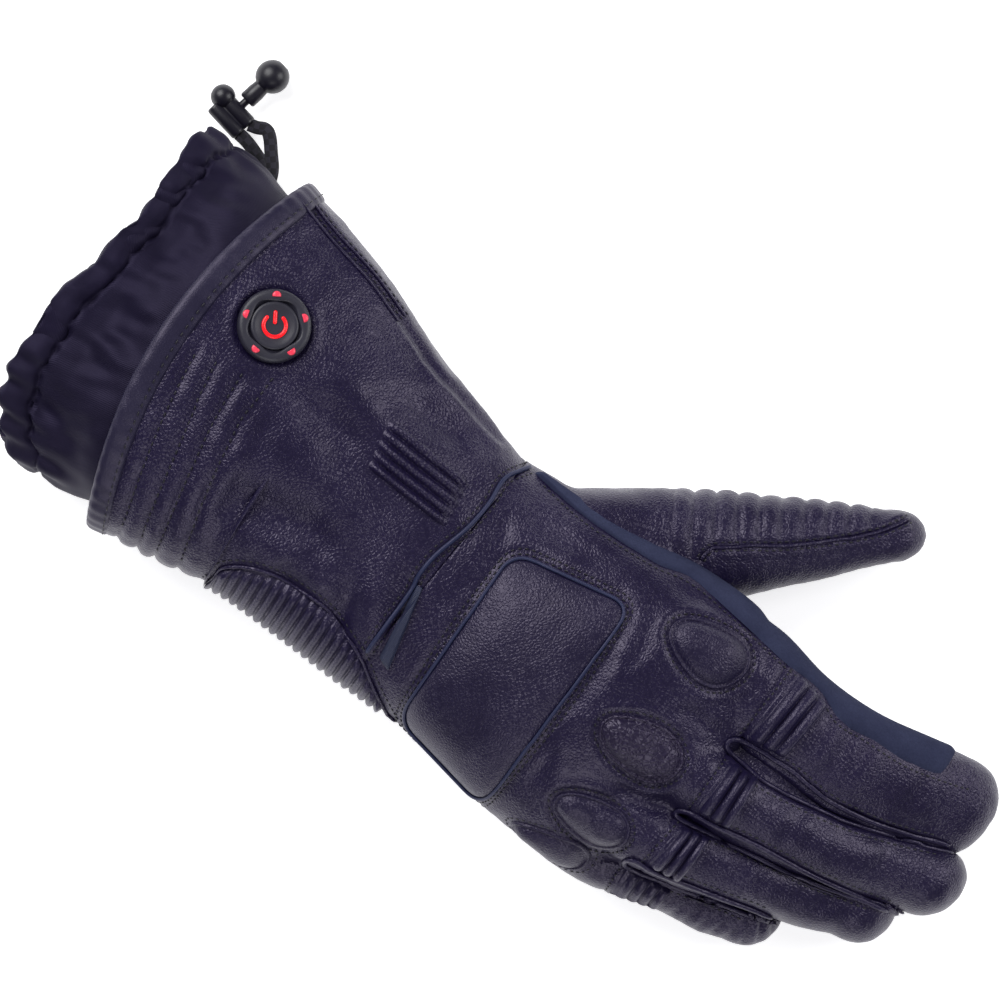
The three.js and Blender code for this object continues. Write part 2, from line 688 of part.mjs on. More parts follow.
function signStroke(grow, low, high) {
  const half = symbolStroke / 2 + grow;
  const shape = new THREE.Shape();
  shape.moveTo(symbolRadius * 0.15 - grow, -half);
  shape.lineTo(symbolRadius * 1.3 + grow, -half);
  shape.lineTo(symbolRadius * 1.3 + grow, half);
  shape.lineTo(symbolRadius * 0.15 - grow, half);
  shape.closePath();
  return onFace(extruded(shape, low, high), buttonTurn, 0);
}

const signFloor = faceTop - faceDish - symbolDepth;
const buttonFace = lathe([
  [0, faceFoot],
  [faceRadius, faceFoot],
  [faceRadius, faceTop],
  [faceRadius * 0.86, faceTop],
  [faceRadius * 0.7, faceTop - faceDish],
  [0, faceTop - faceDish],
], 28);
const signFit = padFit / 2;
const signPocket = signArc(signFit, signFloor, buttonTop).add(signStroke(signFit, signFloor, buttonTop));
add("button_face", placed(buttonFace.subtract(signPocket), buttonSeat), rubber);
const signLow = signFloor + signFit;
const signHigh = signFloor + symbolDepth + symbolRise;
add("button_sign_ring", placed(signArc(0, signLow, signHigh), buttonSeat), redLight);
add("button_sign_stroke", placed(signStroke(0, signLow, signHigh), buttonSeat), redLight);

// Raised pieces on the back of the hand

// Everything that the back pieces are sewn onto, grow off its leather.
const handGrown = (grow) =>
  union([sleeveGrown(grow), ...fingerNames.map((name) => fingerSkin(fingers[name], grow))]);
const underlay = handGrown(seamGap);
const thumbRoom = thumbSkin(seamGap, fingerSides, true);

// An upright prism over an outline in plan. Its rows are shares of a length and of a width.
function planPrism(rows, length, width, corner, low, high) {
  const at = (row) => new THREE.Vector2(row.along * length, row.across * width);
  const shape = new THREE.Shape();
  rows.forEach((row, i) => {
    const here = at(row);
    const toward = (other) => {
      const step = at(other).sub(here);
      return here.clone().addScaledVector(step, Math.min(0.5, (row.corner ?? corner) / step.length()));
    };
    const start = toward(rows[(i + rows.length - 1) % rows.length]);
    const end = toward(rows[(i + 1) % rows.length]);
    if (i === 0) shape.moveTo(start.x, start.y);
    else shape.lineTo(start.x, start.y);
    shape.quadraticCurveTo(here.x, here.y, end.x, end.y);
  });
  shape.closePath();
  return extruded(shape, low, high, 4);
}

function block(low, high) {
  const size = new THREE.Vector3(...high).sub(new THREE.Vector3(...low));
  const geometry = new THREE.BoxGeometry(size.x, size.y, size.z);
  return fromGeometry(geometry.translate(low[0] + size.x / 2, low[1] + size.y / 2, low[2] + size.z / 2));
}

const shrunk = (rows, share) => {
  const middle = (key) => rows.reduce((sum, row) => sum + row[key] / rows.length, 0);
  const [x, y] = [middle("along"), middle("across")];
  return rows.map((row) => ({ along: mix(row.along, x, share), across: mix(row.across, y, share) }));
};

// Back panel: a padded plate with a corded edge. Shares of the hand's length and the palm's width.
const panelOutline = [
  { along: 0.112, across: 0.188 },
  { along: 0.296, across: 0.219 },
  { along: 0.28, across: -0.485 },
  { along: 0.092, across: -0.418 },
];
const panelCorner = 5;
const trimCorner = 3;
const panelTop = palmHeight * 2;
const panelPrism = (rows) => planPrism(rows, handLength, palmWidth, panelCorner, palmHeight * 0.4, panelTop);
const panelField = shrunk(panelOutline, panelRimWidth / (0.11 * handLength));
const panelRimPiece = panelPrism(panelOutline).intersect(handGrown(panelRim + seamGap));
const panelPad = panelPrism(panelField).intersect(handGrown(panelRise + seamGap));
add("back_panel", largest(panelRimPiece.add(panelPad).subtract(underlay)), leather);

// Knuckle pads: domed and teardrop shaped, narrow towards the wrist
const knuckles = [
  { name: "index", along: 0.441, across: 0.245, size: 1, taper: 0.13 },
  { name: "middle", along: 0.435, across: -0.108, size: 1.04, taper: 0.12 },
  { name: "ring", along: 0.433, across: -0.36, size: 0.92, taper: 0.14 },
  { name: "little", along: 0.398, across: -0.525, size: 0.93, taper: 0.1 },
];
const padLevels = [
  { scale: 1, up: -1.3 },
  { scale: 1, up: 0.28 },
  { scale: 0.9, up: 0.3 },
  { scale: 0.8, up: 0.66 },
  { scale: 0.6, up: 0.9 },
  { scale: 0.3, up: 1 },
];

function knucklePad(knuckle) {
  const rings = padLevels.map((level) =>
    Array.from({ length: padSides }, (_, k) => {
      const angle = (2 * Math.PI * k) / padSides;
      const scale = level.scale * knuckle.size;
      const width = padWidth * (1 + knuckle.taper * Math.cos(angle));
      return new THREE.Vector3(
        (padLength / 2) * scale * Math.cos(angle),
        (width / 2) * scale * Math.sin(angle),
        level.up * padRise,
      );
    }),
  );
  const seat = seatOn(knuckle.along * handLength, knuckle.across * palmWidth, palmWidth * 0.01875);
  return placed(loft(rings), seat).subtract(underlay);
}

knuckles.forEach((knuckle) => add("knuckle_pad_" + knuckle.name, largest(knucklePad(knuckle)), leather));

// Ribbed stretch panels: rings that rise and fall by turns along a row of ribs
function ribbedSkin(ringAt, start, pitch, count, valley, peak) {
  const stations = steps(start, start + count * pitch, count * 2);
  return loft(stations.map((x, i) => ringAt(x, seamGap + (i % 2 ? peak : valley))));
}

// Along: where the ribs begin, as a share of the hand's length. Low and high: of the palm's width.
const stretchPanels = [
  { name: "index", along: 0.574, ribs: 3, low: 0.095, high: 0.315 },
  { name: "middle", along: 0.566, ribs: 3, low: -0.18, high: 0.015 },
  { name: "ring", along: 0.553, ribs: 3, low: -0.405, high: -0.25 },
  { name: "little", along: 0.53, ribs: 4, low: -0.57, high: -0.43 },
];

stretchPanels.forEach((panel) => {
  const finger = fingers[panel.name];
  const start = panel.along * handLength;
  const ribs = ribbedSkin((x, grow) => ring(fingerSection(finger, x, grow), grow, fingerSides),
    start, pleatPitch, panel.ribs, pleatValley, pleatRise);
  const room = block(
    [start - pleatPitch, panel.low * palmWidth, palmHeight * 0.3],
    [start + pleatPitch * (panel.ribs + 1), panel.high * palmWidth, palmHeight * 2],
  );
  const neighbours = fingerNames.filter((name) => name !== panel.name);
  const others = union(neighbours.map((name) => fingerSkin(fingers[name], fingerGap)));
  const piece = ribs.intersect(room).subtract(fingerSkin(finger, seamGap)).subtract(others);
  add("stretch_panel_" + panel.name, largest(piece), ribbedLeather);
});

// Ribbed panel on the little finger's side of the wrist. Shares of the gauntlet's length and wrist's width.
const sidePanelOutline = [
  { along: -0.565, across: -0.72 },
  { along: -0.565, across: -0.4 },
  { along: -0.5, across: -0.345 },
  { along: -0.36, across: -0.312 },
  { along: -0.21, across: -0.316 },
  { along: -0.05, across: -0.395 },
  { along: 0.165, across: -0.535 },
  { along: 0.165, across: -0.72 },
];
const sideRibs = Math.round((0.73 * gauntletLength) / ribPitch);
const sideRibbed = ribbedSkin((x, grow) => ring(sleeveSection(x), grow, sleeveSides),
  -0.565 * gauntletLength, ribPitch, sideRibs, ribValley, ribRise);
const sidePrism = planPrism(sidePanelOutline, gauntletLength, wristWidth, 2, wristHeight * 0.16, panelTop);
add("ribbed_side_panel", largest(sideRibbed.intersect(sidePrism).subtract(underlay)), ribbedLeather);

// Padded rolls over the wrist, along the glove
const rollCount = 4;
const rollRows = [
  { along: -0.35, across: 0.415 },
  { along: -0.03, across: 0.37 },
  { along: -0.03, across: 0.175 },
  { along: -0.33, across: 0.17 },
];
const rollPrism = planPrism(rollRows, gauntletLength, wristWidth, trimCorner, wristHeight * 0.5, panelTop);
const rollBase = rollPrism.intersect(handGrown(shirrBase + seamGap));

// A round rod laid on the leather through points in plan, sunk by a share of its radius.
function laidRod(points, radius, sink, sides, stepCount) {
  const path = new THREE.CatmullRomCurve3(points.map((p) => {
    const seat = onSkin(p.x, p.y);
    return seat.setZ(seat.z + radius * (1 - sink));
  }));
  const shape = new THREE.Shape();
  shape.absarc(0, 0, radius, 0, 2 * Math.PI);
  return fromGeometry(new THREE.ExtrudeGeometry(shape, {
    steps: stepCount,
    curveSegments: sides / 2,
    extrudePath: path,
    bevelEnabled: false,
  }));
}

const rollLean = -0.045; // how far a roll runs towards the little finger, of the wrist's width
const rolls = Array.from({ length: rollCount }, (_, i) => {
  const start = rollRows[0].across * wristWidth - shirrPitch * (i + 0.7);
  const points = steps(-0.335, -0.05, 3).map((along, j) =>
    new THREE.Vector2(along * gauntletLength, start + (rollLean * wristWidth * j) / 3));
  return laidRod(points, shirrRadius, -0.2, 8, 4);
});
const shirring = union([rollBase, ...rolls]).subtract(underlay);
add("wrist_shirring", largest(shirring), leather);

// Piping over the seam between the gauntlet and the hand, from the thumb's side to the ribbed panel
const pipingPoints = steps(0.94, -0.72, 8).map((across) => {
  const section = sleeveSection(wristSeam + wristSlant * across);
  return new THREE.Vector2(section.x, section.y + section.halfWidth * across);
});
const piping = laidRod(pipingPoints, pipingRadius, 0.1, 8, 14).subtract(underlay);
add("wrist_piping", largest(piping), binding);

// Woven tag, folded flat and caught in the seam
const tagRows = [
  { along: 0.024, across: -0.08 },
  { along: 0.022 + tagWidth / handLength, across: -0.16 },
  { along: 0.022 + tagWidth / handLength, across: -0.37 },
  { along: 0.008, across: -0.36 },
];
const tag = planPrism(tagRows, handLength, wristWidth, 1, wristHeight * 0.5, panelTop)
  .intersect(handGrown(tagRise + seamGap))
  .subtract(underlay);
add("loop_tag", largest(tag), nylon);

// Suede panel along the index finger's side, from the wrist to the last joint
const suedeRows = [
  { along: 0.06, across: 0.6 },
  { along: 0.06, across: 0.42 },
  { along: 0.155, across: 0.385 },
  { along: 0.3, across: 0.388 },
  { along: 0.39, across: 0.405 },
  { along: 0.49, across: 0.375 },
  { along: 0.64, across: 0.325 },
  { along: 0.69, across: 0.288 },
  { along: 0.81, across: 0.295 },
  { along: 0.875, across: 0.33 },
  { along: 0.845, across: 0.6 },
];
const suedePrism = planPrism(suedeRows, handLength, palmWidth, trimCorner, palmHeight * 0.45, panelTop);
const suedeSkin = suedePrism.intersect(handGrown(suedeRise + seamGap));
const suedePiece = suedeSkin.subtract(underlay).subtract(thumbRoom);
add("index_side_panel", largest(suedePiece), suede);

// Cord lock: two barrels that grip the drawcord, and a ball on a stem that is pressed to let it run

const lockPlace = new THREE.Vector3(-133.4, 87.1, lockBallRadius);
const lockTurn = -14; // degrees, of the barrels on the surface
const lockFrame = new THREE.Matrix4()
  .makeTranslation(lockPlace)
  .multiply(new THREE.Matrix4().makeRotationZ(THREE.MathUtils.degToRad(lockTurn)));
const lockSide = lockBarrelSpacing / 2 + lockBarrelRadius; // from the middle to the barrels' flank
const stemGap = lockTravel + lockFit;
const stemFoot = lockSide + stemGap;
const ballMiddle = stemFoot + lockStemLength + Math.sqrt(lockBallRadius ** 2 - lockStemRadius ** 2);

const alongX = (piece) => piece.rotate([0, 90, 0]);
const alongY = (piece) => piece.rotate([-90, 0, 0]);
const ball = (radius) => fromGeometry(new THREE.SphereGeometry(radius, 16, 10));
const barrel = alongX(rod(lockBarrelRadius, -lockBarrelLength / 2, lockBarrelLength / 2, 20));
const web = block(
  [-lockBarrelLength * 0.42, -lockBarrelSpacing / 2, -lockBarrelRadius * 0.7],
  [lockBarrelLength * 0.42, lockBarrelSpacing / 2, lockBarrelRadius * 0.7],
);
const lockPin = alongY(rod(lockPinRadius, 0, lockSide + lockPinLength, 12));
const knob = ball(lockKnobRadius).translate([-lockBarrelLength / 2, lockBarrelSpacing / 2, 0]);
const lockBody = union([
  barrel.translate([0, lockBarrelSpacing / 2, 0]),
  barrel.translate([0, -lockBarrelSpacing / 2, 0]),
  web,
  lockPin,
  knob,
]);
add("cord_lock_body", placed(lockBody, lockFrame), mouldedPlastic);

const stem = alongY(rod(lockStemRadius, stemFoot, ballMiddle, 20));
const bore = alongY(rod(lockPinRadius + lockFit, stemFoot - 1, lockSide + lockPinLength + stemGap, 12));
const plunger = stem.add(ball(lockBallRadius).translate([0, ballMiddle, 0])).subtract(bore);
add("cord_lock_plunger", placed(plunger, lockFrame), mouldedPlastic);

// Drawcord: two strands from the lock that run in under the gaiter

const strands = {
  drawcord_upper: [
    [-125.6, 87.6, 5.5],
    [-124.2, 87.9, 5.6],
    [-121.6, 89.3, 6],
    [-119.2, 88, 6.5],
    [-115.9, 83.8, 6.8],
    [-112.9, 79.8, 6.8],
    [-111.6, 76, 6.8],
    [-113, 72, 6.8],
    [-116.4, 68.8, 6.8],
  ],
  drawcord_lower: [
    [-127, 83.1, 5.5],
    [-125.2, 82.7, 4.9],
    [-121.4, 81.6, 3],
    [-117.2, 79.5, 2.2],
    [-113.6, 75.5, 2.2],
    [-112.4, 70, 2.2],
    [-113.5, 63, 2.2],
    [-117, 56, 2.2],
  ],
};

Object.entries(strands).forEach(([name, points]) => {
  const shape = new THREE.Shape();
  shape.absarc(0, 0, cordRadius, 0, 2 * Math.PI);
  const path = new THREE.CatmullRomCurve3(points.map((p) => new THREE.Vector3(...p)));
  const tube = new THREE.ExtrudeGeometry(shape, {
    steps: cordSteps,
    curveSegments: 4,
    extrudePath: path,
    bevelEnabled: false,
  });
  add(name, fromGeometry(tube), nylon);
});

export default glove;
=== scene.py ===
import math

import bmesh
import bpy
import numpy as np
from mathutils import Matrix, Vector
from mathutils.bvhtree import BVHTree


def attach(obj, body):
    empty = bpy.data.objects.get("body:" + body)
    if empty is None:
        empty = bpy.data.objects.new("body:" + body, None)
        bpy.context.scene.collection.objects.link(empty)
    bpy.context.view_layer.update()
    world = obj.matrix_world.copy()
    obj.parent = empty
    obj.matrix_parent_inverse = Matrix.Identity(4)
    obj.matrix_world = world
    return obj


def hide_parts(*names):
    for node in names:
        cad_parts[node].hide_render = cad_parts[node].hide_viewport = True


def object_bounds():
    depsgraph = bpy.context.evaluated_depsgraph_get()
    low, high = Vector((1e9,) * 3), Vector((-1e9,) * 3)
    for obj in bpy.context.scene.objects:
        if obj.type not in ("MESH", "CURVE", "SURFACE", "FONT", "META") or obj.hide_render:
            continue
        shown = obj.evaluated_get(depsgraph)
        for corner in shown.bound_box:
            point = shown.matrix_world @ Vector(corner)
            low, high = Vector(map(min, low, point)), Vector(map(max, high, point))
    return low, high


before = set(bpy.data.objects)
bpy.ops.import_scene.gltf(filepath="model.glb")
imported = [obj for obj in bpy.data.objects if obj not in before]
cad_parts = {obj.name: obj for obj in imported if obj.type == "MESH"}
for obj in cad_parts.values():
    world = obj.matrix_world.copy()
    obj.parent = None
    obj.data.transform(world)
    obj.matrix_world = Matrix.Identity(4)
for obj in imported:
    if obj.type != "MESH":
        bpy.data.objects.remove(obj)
cad_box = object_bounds()


# Camera, floor and studio light
# A long lens straight above the back of the hand, turned so that the glove lies aslant.
# The floor is a matt opal sheet lit softly from below, and three softboxes light the leather.

PHOTO_TURN = math.radians(33)
PHOTO_MIDDLE = (0.0067, 0.0303)
PHOTO_WIDTH = 0.320
LENS = 420
KNUCKLE_HEIGHT = 0.03


def placed(name, data):
    """A new object in the scene."""
    made = bpy.data.objects.new(name, data)
    bpy.context.collection.objects.link(made)
    return made


camera_data = bpy.data.cameras.new("camera")
camera_data.lens = LENS
camera_data.clip_end = 20
camera = placed("camera", camera_data)
camera.location = (*PHOTO_MIDDLE, PHOTO_WIDTH * LENS / camera_data.sensor_width + KNUCKLE_HEIGHT)
camera.rotation_euler = (0, 0, PHOTO_TURN)
bpy.context.scene.camera = camera


def from_hex(code):
    """The linear colour of an sRGB hex value."""
    shares = [int(code[i:i + 2], 16) / 255 for i in (0, 2, 4)]
    return (*[c / 12.92 if c <= 0.04045 else ((c + 0.055) / 1.055) ** 2.4 for c in shares], 1)


def new_material(name):
    """A new material, and its node tree and shader."""
    material = bpy.data.materials.new(name)
    material.use_nodes = True
    return material, material.node_tree, material.node_tree.nodes["Principled BSDF"]


def feed(node, **inputs):
    """Sets inputs, named or numbered as _0, to values, sockets or the first outputs of nodes."""
    for key, value in inputs.items():
        socket = node.inputs[int(key[1:]) if key[1:].isdigit() else key.replace("_", " ")]
        if isinstance(value, bpy.types.Node):
            value = value.outputs[0]
        if isinstance(value, bpy.types.NodeSocket):
            node.id_data.links.new(value, socket)
        else:
            socket.default_value = value


def add_node(tree, kind, settings=(), **inputs):
    """A new shader node with its settings and inputs."""
    node = tree.nodes.new("ShaderNode" + kind)
    for key, value in dict(settings).items():
        setattr(node, key, value)
    feed(node, **inputs)
    return node


# Opal acrylic: no gloss at all, glowing, so that only soft shadow shows.
opal, tree, shader = new_material("opal_acrylic")
feed(shader, Base_Color=from_hex("f6f6f8"), Roughness=0.95, Emission_Color=(1, 1, 1, 1),
     Emission_Strength=0.65)

FLOOR_SIZE, FLOOR_DROP = 3, 0.0004
bm = bmesh.new()
bmesh.ops.create_grid(bm, x_segments=2, y_segments=2, size=FLOOR_SIZE)
bmesh.ops.translate(bm, verts=bm.verts, vec=(0, 0, cad_box[0][2] - FLOOR_DROP))
floor_mesh = bpy.data.meshes.new("floor")
bm.to_mesh(floor_mesh)
bm.free()
floor_mesh.materials.append(opal)
placed("floor", floor_mesh)

# Each softbox: its place round the camera's view in degrees (0 is the picture's right), its height in
# degrees, its size in metres and its power in watts.
SOFTBOX_DISTANCE, AIM_HEIGHT = 1.3, 0.02
for name, around, height, size, power in [
    ("softbox_upper_left", 130, 42, 0.9, 16.5),
    ("softbox_right", 10, 34, 0.7, 8),
    ("softbox_bottom", 265, 38, 0.8, 5.5),
]:
    lamp = bpy.data.lights.new(name, "AREA")
    lamp.size = size
    lamp.energy = power
    lamp_object = placed(name, lamp)
    turn, high = PHOTO_TURN + math.radians(around), math.radians(height)
    way = Vector((math.cos(turn) * math.cos(high), math.sin(turn) * math.cos(high), math.sin(high)))
    lamp_object.location = Vector((*PHOTO_MIDDLE, AIM_HEIGHT)) + way * SOFTBOX_DISTANCE
    lamp_object.rotation_euler = way.to_track_quat("Z", "Y").to_euler()

world = bpy.data.worlds.new("studio")
world.use_nodes = True
feed(world.node_tree.nodes["Background"], Color=(0.95, 0.95, 1, 1), Strength=0.12)
bpy.context.scene.world = world
bpy.context.scene.view_settings.view_transform = "Standard"


# Drawcords
# A flat black polyester braid 4.4 mm wide runs in the gaiter's hem. Two strands of it leave the cord
# lock and go back into the hem, limp and loose.

FLOOR_CLEARANCE = 0.05


def fill_holes(bm):
    """Closes every open rim with a face."""
    bmesh.ops.holes_fill(bm, edges=[e for e in bm.edges if e.is_boundary], sides=0)


def skin(rows, closed=True, out=(0, 0, 1), ends=False):
    """A bmesh grid with its points moved onto rows of points in millimetres, and its UV map in 0..1."""
    rows = np.asarray(rows, dtype=float)
    if closed:
        rows = np.concatenate([rows, rows[:, :1]], axis=1)
    count, width = rows.shape[:2]
    bm = bmesh.new()
    bm.loops.layers.uv.new("UVMap")
    bmesh.ops.create_grid(bm, x_segments=width - 1, y_segments=count - 1, size=0.5, calc_uvs=True)
    for v in bm.verts:
        v.co = rows[round((v.co.y + 0.5) * (count - 1)), round((v.co.x + 0.5) * (width - 1))]
    bmesh.ops.remove_doubles(bm, verts=bm.verts, dist=1e-4)
    if ends:
        fill_holes(bm)
    bm.normal_update()
    outermost = max(bm.verts, key=lambda v: v.co.dot(Vector(out)))
    if outermost.normal.dot(Vector(out)) < 0:
        bmesh.ops.reverse_faces(bm, faces=bm.faces)
    return bm


def piece(name, bm, material, node=None, body="glove", wall=0):
    """The bmesh, modelled in millimetres, as a finished object: its name and material, the CAD node it stands
    for, the body it rides on, and how thick a wall it gets inwards in metres."""
    for vertex in bm.verts:
        vertex.co.z = max(vertex.co.z, FLOOR_CLEARANCE)
    bmesh.ops.scale(bm, verts=bm.verts, vec=(0.001, 0.001, 0.001))
    mesh = bpy.data.meshes.new(name)
    bm.to_mesh(mesh)
    bm.free()
    mesh.materials.append(material)
    for polygon in mesh.polygons:
        polygon.use_smooth = True
    made = placed(name, mesh)
    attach(made, body)
    if wall:
        solid = made.modifiers.new("wall", "SOLIDIFY")
        solid.thickness = wall
        solid.offset = -1
    if node:
        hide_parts(node)
    return made


def unit(vectors):
    """The same vectors with a length of 1."""
    return vectors / np.linalg.norm(vectors, axis=-1, keepdims=True)


def run_along(line):
    """How far along a line each of its points lies."""
    return np.concatenate([[0], np.cumsum(np.linalg.norm(np.diff(line, axis=0), axis=1))])


def curve_through(points, count):
    """Evenly spaced points on a smooth curve through a few points."""
    p = np.asarray(points, dtype=float)
    p = np.concatenate([[2 * p[0] - p[1]], p, [2 * p[-1] - p[-2]]])
    fine = []
    for i in range(1, len(p) - 2):
        for t in np.linspace(0, 1, 24, endpoint=False):
            a, b, c, d = p[i - 1], p[i], p[i + 1], p[i + 2]
            fine.append(0.5 * (2 * b + (c - a) * t + (2 * a - 5 * b + 4 * c - d) * t * t
                               + (3 * b - a - 3 * c + d) * t ** 3))
    fine.append(p[-2])
    fine = np.array(fine)
    run = run_along(fine)
    at = np.linspace(0, run[-1], count)
    return np.stack([np.interp(at, run, fine[:, k]) for k in range(fine.shape[1])], axis=1)


def tube_rows(line, half_width, half_height, sides, up=(0, 0, 1), taper=0.0):
    """Rings round a line, flat to the way up, that close to a point at both ends if a taper is given."""
    line = np.asarray(line, dtype=float)
    along = unit(np.gradient(line, axis=0))
    side = unit(np.cross(np.broadcast_to(np.asarray(up, dtype=float), line.shape), along))
    top = np.cross(along, side)
    angles = np.linspace(0, 2 * np.pi, sides, endpoint=False)
    share = np.ones(len(line))
    if taper:
        run = run_along(line)
        near = np.minimum(run, run[-1] - run)
        share = np.sqrt(np.clip(1 - (1 - np.clip(near / taper, 0, 1)) ** 2, 0, 1))
    return (line[:, None]
            + side[:, None] * (half_width * share)[:, None, None] * np.cos(angles)[None, :, None]
            + top[:, None] * (half_height * share)[:, None, None] * np.sin(angles)[None, :, None])


# Braided polyester: dull black yarn, with the diagonal steps of a flat braid about 0.9 mm apart.
braid, tree, shader = new_material("braided_polyester")
where = add_node(tree, "UVMap")
spread = add_node(tree, "Mapping", Vector=where, Scale=(7, 17, 1))
cells = add_node(tree, "TexChecker", Vector=spread, Color1=from_hex("17151f"),
                 Color2=from_hex("2c2936"), Scale=1.0)
turned = add_node(tree, "Mapping", Vector=where, Scale=(7, 17, 1),
                  Rotation=(0, 0, math.radians(45)))
waves = add_node(tree, "TexWave", Vector=turned, Scale=1.6, Distortion=0.4)
bump = add_node(tree, "Bump", Height=waves.outputs["Fac"], Strength=0.8, Distance=0.0003)
feed(shader, Base_Color=cells, Roughness=0.8, Normal=bump)

CORD_WIDTH = 4.4
CORD_THICKNESS = 2.8
cord_routes = {
    "drawcord_upper": [
        (-127.0, 87.7, 5.5), (-124.2, 88.3, 5.6), (-121.6, 89.3, 6), (-119.2, 88, 6.5), (-115.9, 83.8, 6.8),
        (-112.9, 79.8, 6.8), (-111.6, 76, 6.8), (-113, 72, 6.8), (-116.4, 68.8, 6.8),
    ],
    "drawcord_lower": [
        (-128.0, 83.4, 5.5), (-125.2, 82.9, 4.9), (-121.4, 81.6, 3), (-117.2, 79.5, 2.2), (-113.6, 75.5, 2.2),
        (-112.4, 70, 2.2), (-113.5, 63, 2.2), (-117, 56, 2.2),
    ],
}
for name, points in cord_routes.items():
    line = curve_through(points, 72)
    tube = tube_rows(line, CORD_WIDTH / 2, CORD_THICKNESS / 2, 20)
    cord = piece(name + "_braid", skin(tube, ends=True), braid, name)


# Cord lock
# A satin black acetal toggle: two barrels side by side that grip the cord, a small domed button at
# their far end, and a ball on a stem that is pressed in to let the cord run.

# Moulded acetal: deep black and satin, a little waxy, with faint mould grain.
acetal, tree, shader = new_material("moulded_acetal")
place = add_node(tree, "TexCoord").outputs["Object"]
grain = add_node(tree, "TexNoise", Vector=place, Scale=900, Detail=3)
sheen = add_node(tree, "MapRange", Value=grain, To_Min=0.3, To_Max=0.45)
bump = add_node(tree, "Bump", Height=grain, Strength=0.12, Distance=0.0001)
feed(shader, Base_Color=from_hex("14121e"), Roughness=sheen, Normal=bump, IOR=1.48)

LOCK_PLACE = (-133.4, 87.1, 5.5)
LOCK_TURN = math.radians(-14)
BARREL_RADIUS, BARREL_LENGTH, BARREL_SPACING = 2.6, 12.4, 4.4
BALL_RADIUS, KNOB_RADIUS, STEM_RADIUS = 5.5, 4.0, 2.9
lock_frame = Matrix.Translation(LOCK_PLACE) @ Matrix.Rotation(LOCK_TURN, 4, "Z")


def turned_part(profile, sides=40):
    """A profile of radius and height spun about the Z axis, in a bmesh of its own."""
    bm = bmesh.new()
    verts = [bm.verts.new((r, 0, z)) for r, z in profile]
    edges = [bm.edges.new(pair) for pair in zip(verts, verts[1:])]
    bmesh.ops.spin(bm, geom=verts + edges, cent=(0, 0, 0), axis=(0, 0, 1), angle=2 * math.pi,
                   steps=sides, use_merge=True)
    bmesh.ops.remove_doubles(bm, verts=bm.verts, dist=1e-4)
    bmesh.ops.recalc_face_normals(bm, faces=bm.faces)
    return bm


def joined(parts):
    """One bmesh that holds several, each with the matrix that places it."""
    whole = bmesh.new()
    for part, matrix in parts:
        part.transform(matrix)
        scratch = bpy.data.meshes.new("scratch")
        part.to_mesh(scratch)
        whole.from_mesh(scratch)
        bpy.data.meshes.remove(scratch)
        part.free()
    return whole


def dome(radius, start, steps=9):
    """A quarter circle of profile points, from the flank to the pole at start + radius."""
    return [(radius * math.cos(a), start + radius * math.sin(a))
            for a in np.linspace(0, math.pi / 2, steps)]


half = BARREL_LENGTH / 2
barrel = [(0, -half + 0.6), (1.2, -half + 0.6), (1.2, -half), (2.1, -half), (2.48, -half + 0.35),
          (BARREL_RADIUS, -half + 0.9), (BARREL_RADIUS, half - 0.9), (2.48, half - 0.35), (2.1, half),
          (1.2, half), (1.2, half - 0.6), (0, half - 0.6)]
lie_x = Matrix.Rotation(math.radians(90), 4, "Y")
lie_y = Matrix.Rotation(math.radians(-90), 4, "X")
side = BARREL_SPACING / 2
web = bmesh.new()
bmesh.ops.create_cube(web, size=1)
bmesh.ops.scale(web, verts=web.verts, vec=(BARREL_LENGTH * 0.84, BARREL_SPACING, 3.4))
bmesh.ops.bevel(web, geom=web.edges, offset=0.5, segments=3, profile=0.5, affect="EDGES", material=-1)
knob = turned_part([(0, -KNOB_RADIUS)] + [(r, -z) for r, z in reversed(dome(KNOB_RADIUS, 0))][1:]
                   + dome(KNOB_RADIUS, 0)[1:])
PIN_RADIUS, PIN_LENGTH, LOCK_TRAVEL, LOCK_FIT = 1.3, 6, 1.6, 0.3
lock_side = side + BARREL_RADIUS
pin = turned_part([(0, 0), (PIN_RADIUS, 0), (PIN_RADIUS, lock_side + PIN_LENGTH - 0.3),
                   (PIN_RADIUS - 0.3, lock_side + PIN_LENGTH), (0, lock_side + PIN_LENGTH)], 24)
body = joined([
    (turned_part(barrel), Matrix.Translation((0, side, 0)) @ lie_x),
    (turned_part(barrel), Matrix.Translation((0, -side, 0)) @ lie_x),
    (web, Matrix()),
    (knob, Matrix.Translation((-half, side, 0))),
    (pin, lie_y),
])
body.transform(lock_frame)
piece("cord_lock_barrels", body, acetal, "cord_lock_body")

stem_foot = lock_side + LOCK_TRAVEL + LOCK_FIT
bore_end = stem_foot + PIN_LENGTH + 0.1
ball_middle = stem_foot + 6.8 + math.sqrt(BALL_RADIUS ** 2 - STEM_RADIUS ** 2)
neck = math.asin(STEM_RADIUS * 0.92 / BALL_RADIUS)
ball = [(BALL_RADIUS * math.sin(a), ball_middle - BALL_RADIUS * math.cos(a))
        for a in np.linspace(neck, math.pi * 0.87, 26)]
flat_face = ball[-1]
plunger_profile = [
    (0, bore_end), (PIN_RADIUS + LOCK_FIT, bore_end), (PIN_RADIUS + LOCK_FIT, stem_foot + 0.3),
    (PIN_RADIUS + LOCK_FIT + 0.2, stem_foot), (STEM_RADIUS - 0.5, stem_foot), (STEM_RADIUS, stem_foot + 0.5),
    (STEM_RADIUS, stem_foot + 4.2), (STEM_RADIUS * 0.93, stem_foot + 6.2), *ball,
    (flat_face[0] - 0.4, flat_face[1] + 0.15), (0, flat_face[1] + 0.15),
]
ball_part = turned_part(plunger_profile, 48)
ball_part.transform(lock_frame @ lie_y)
piece("cord_lock_ball", ball_part, acetal, "cord_lock_plunger", body="plunger")


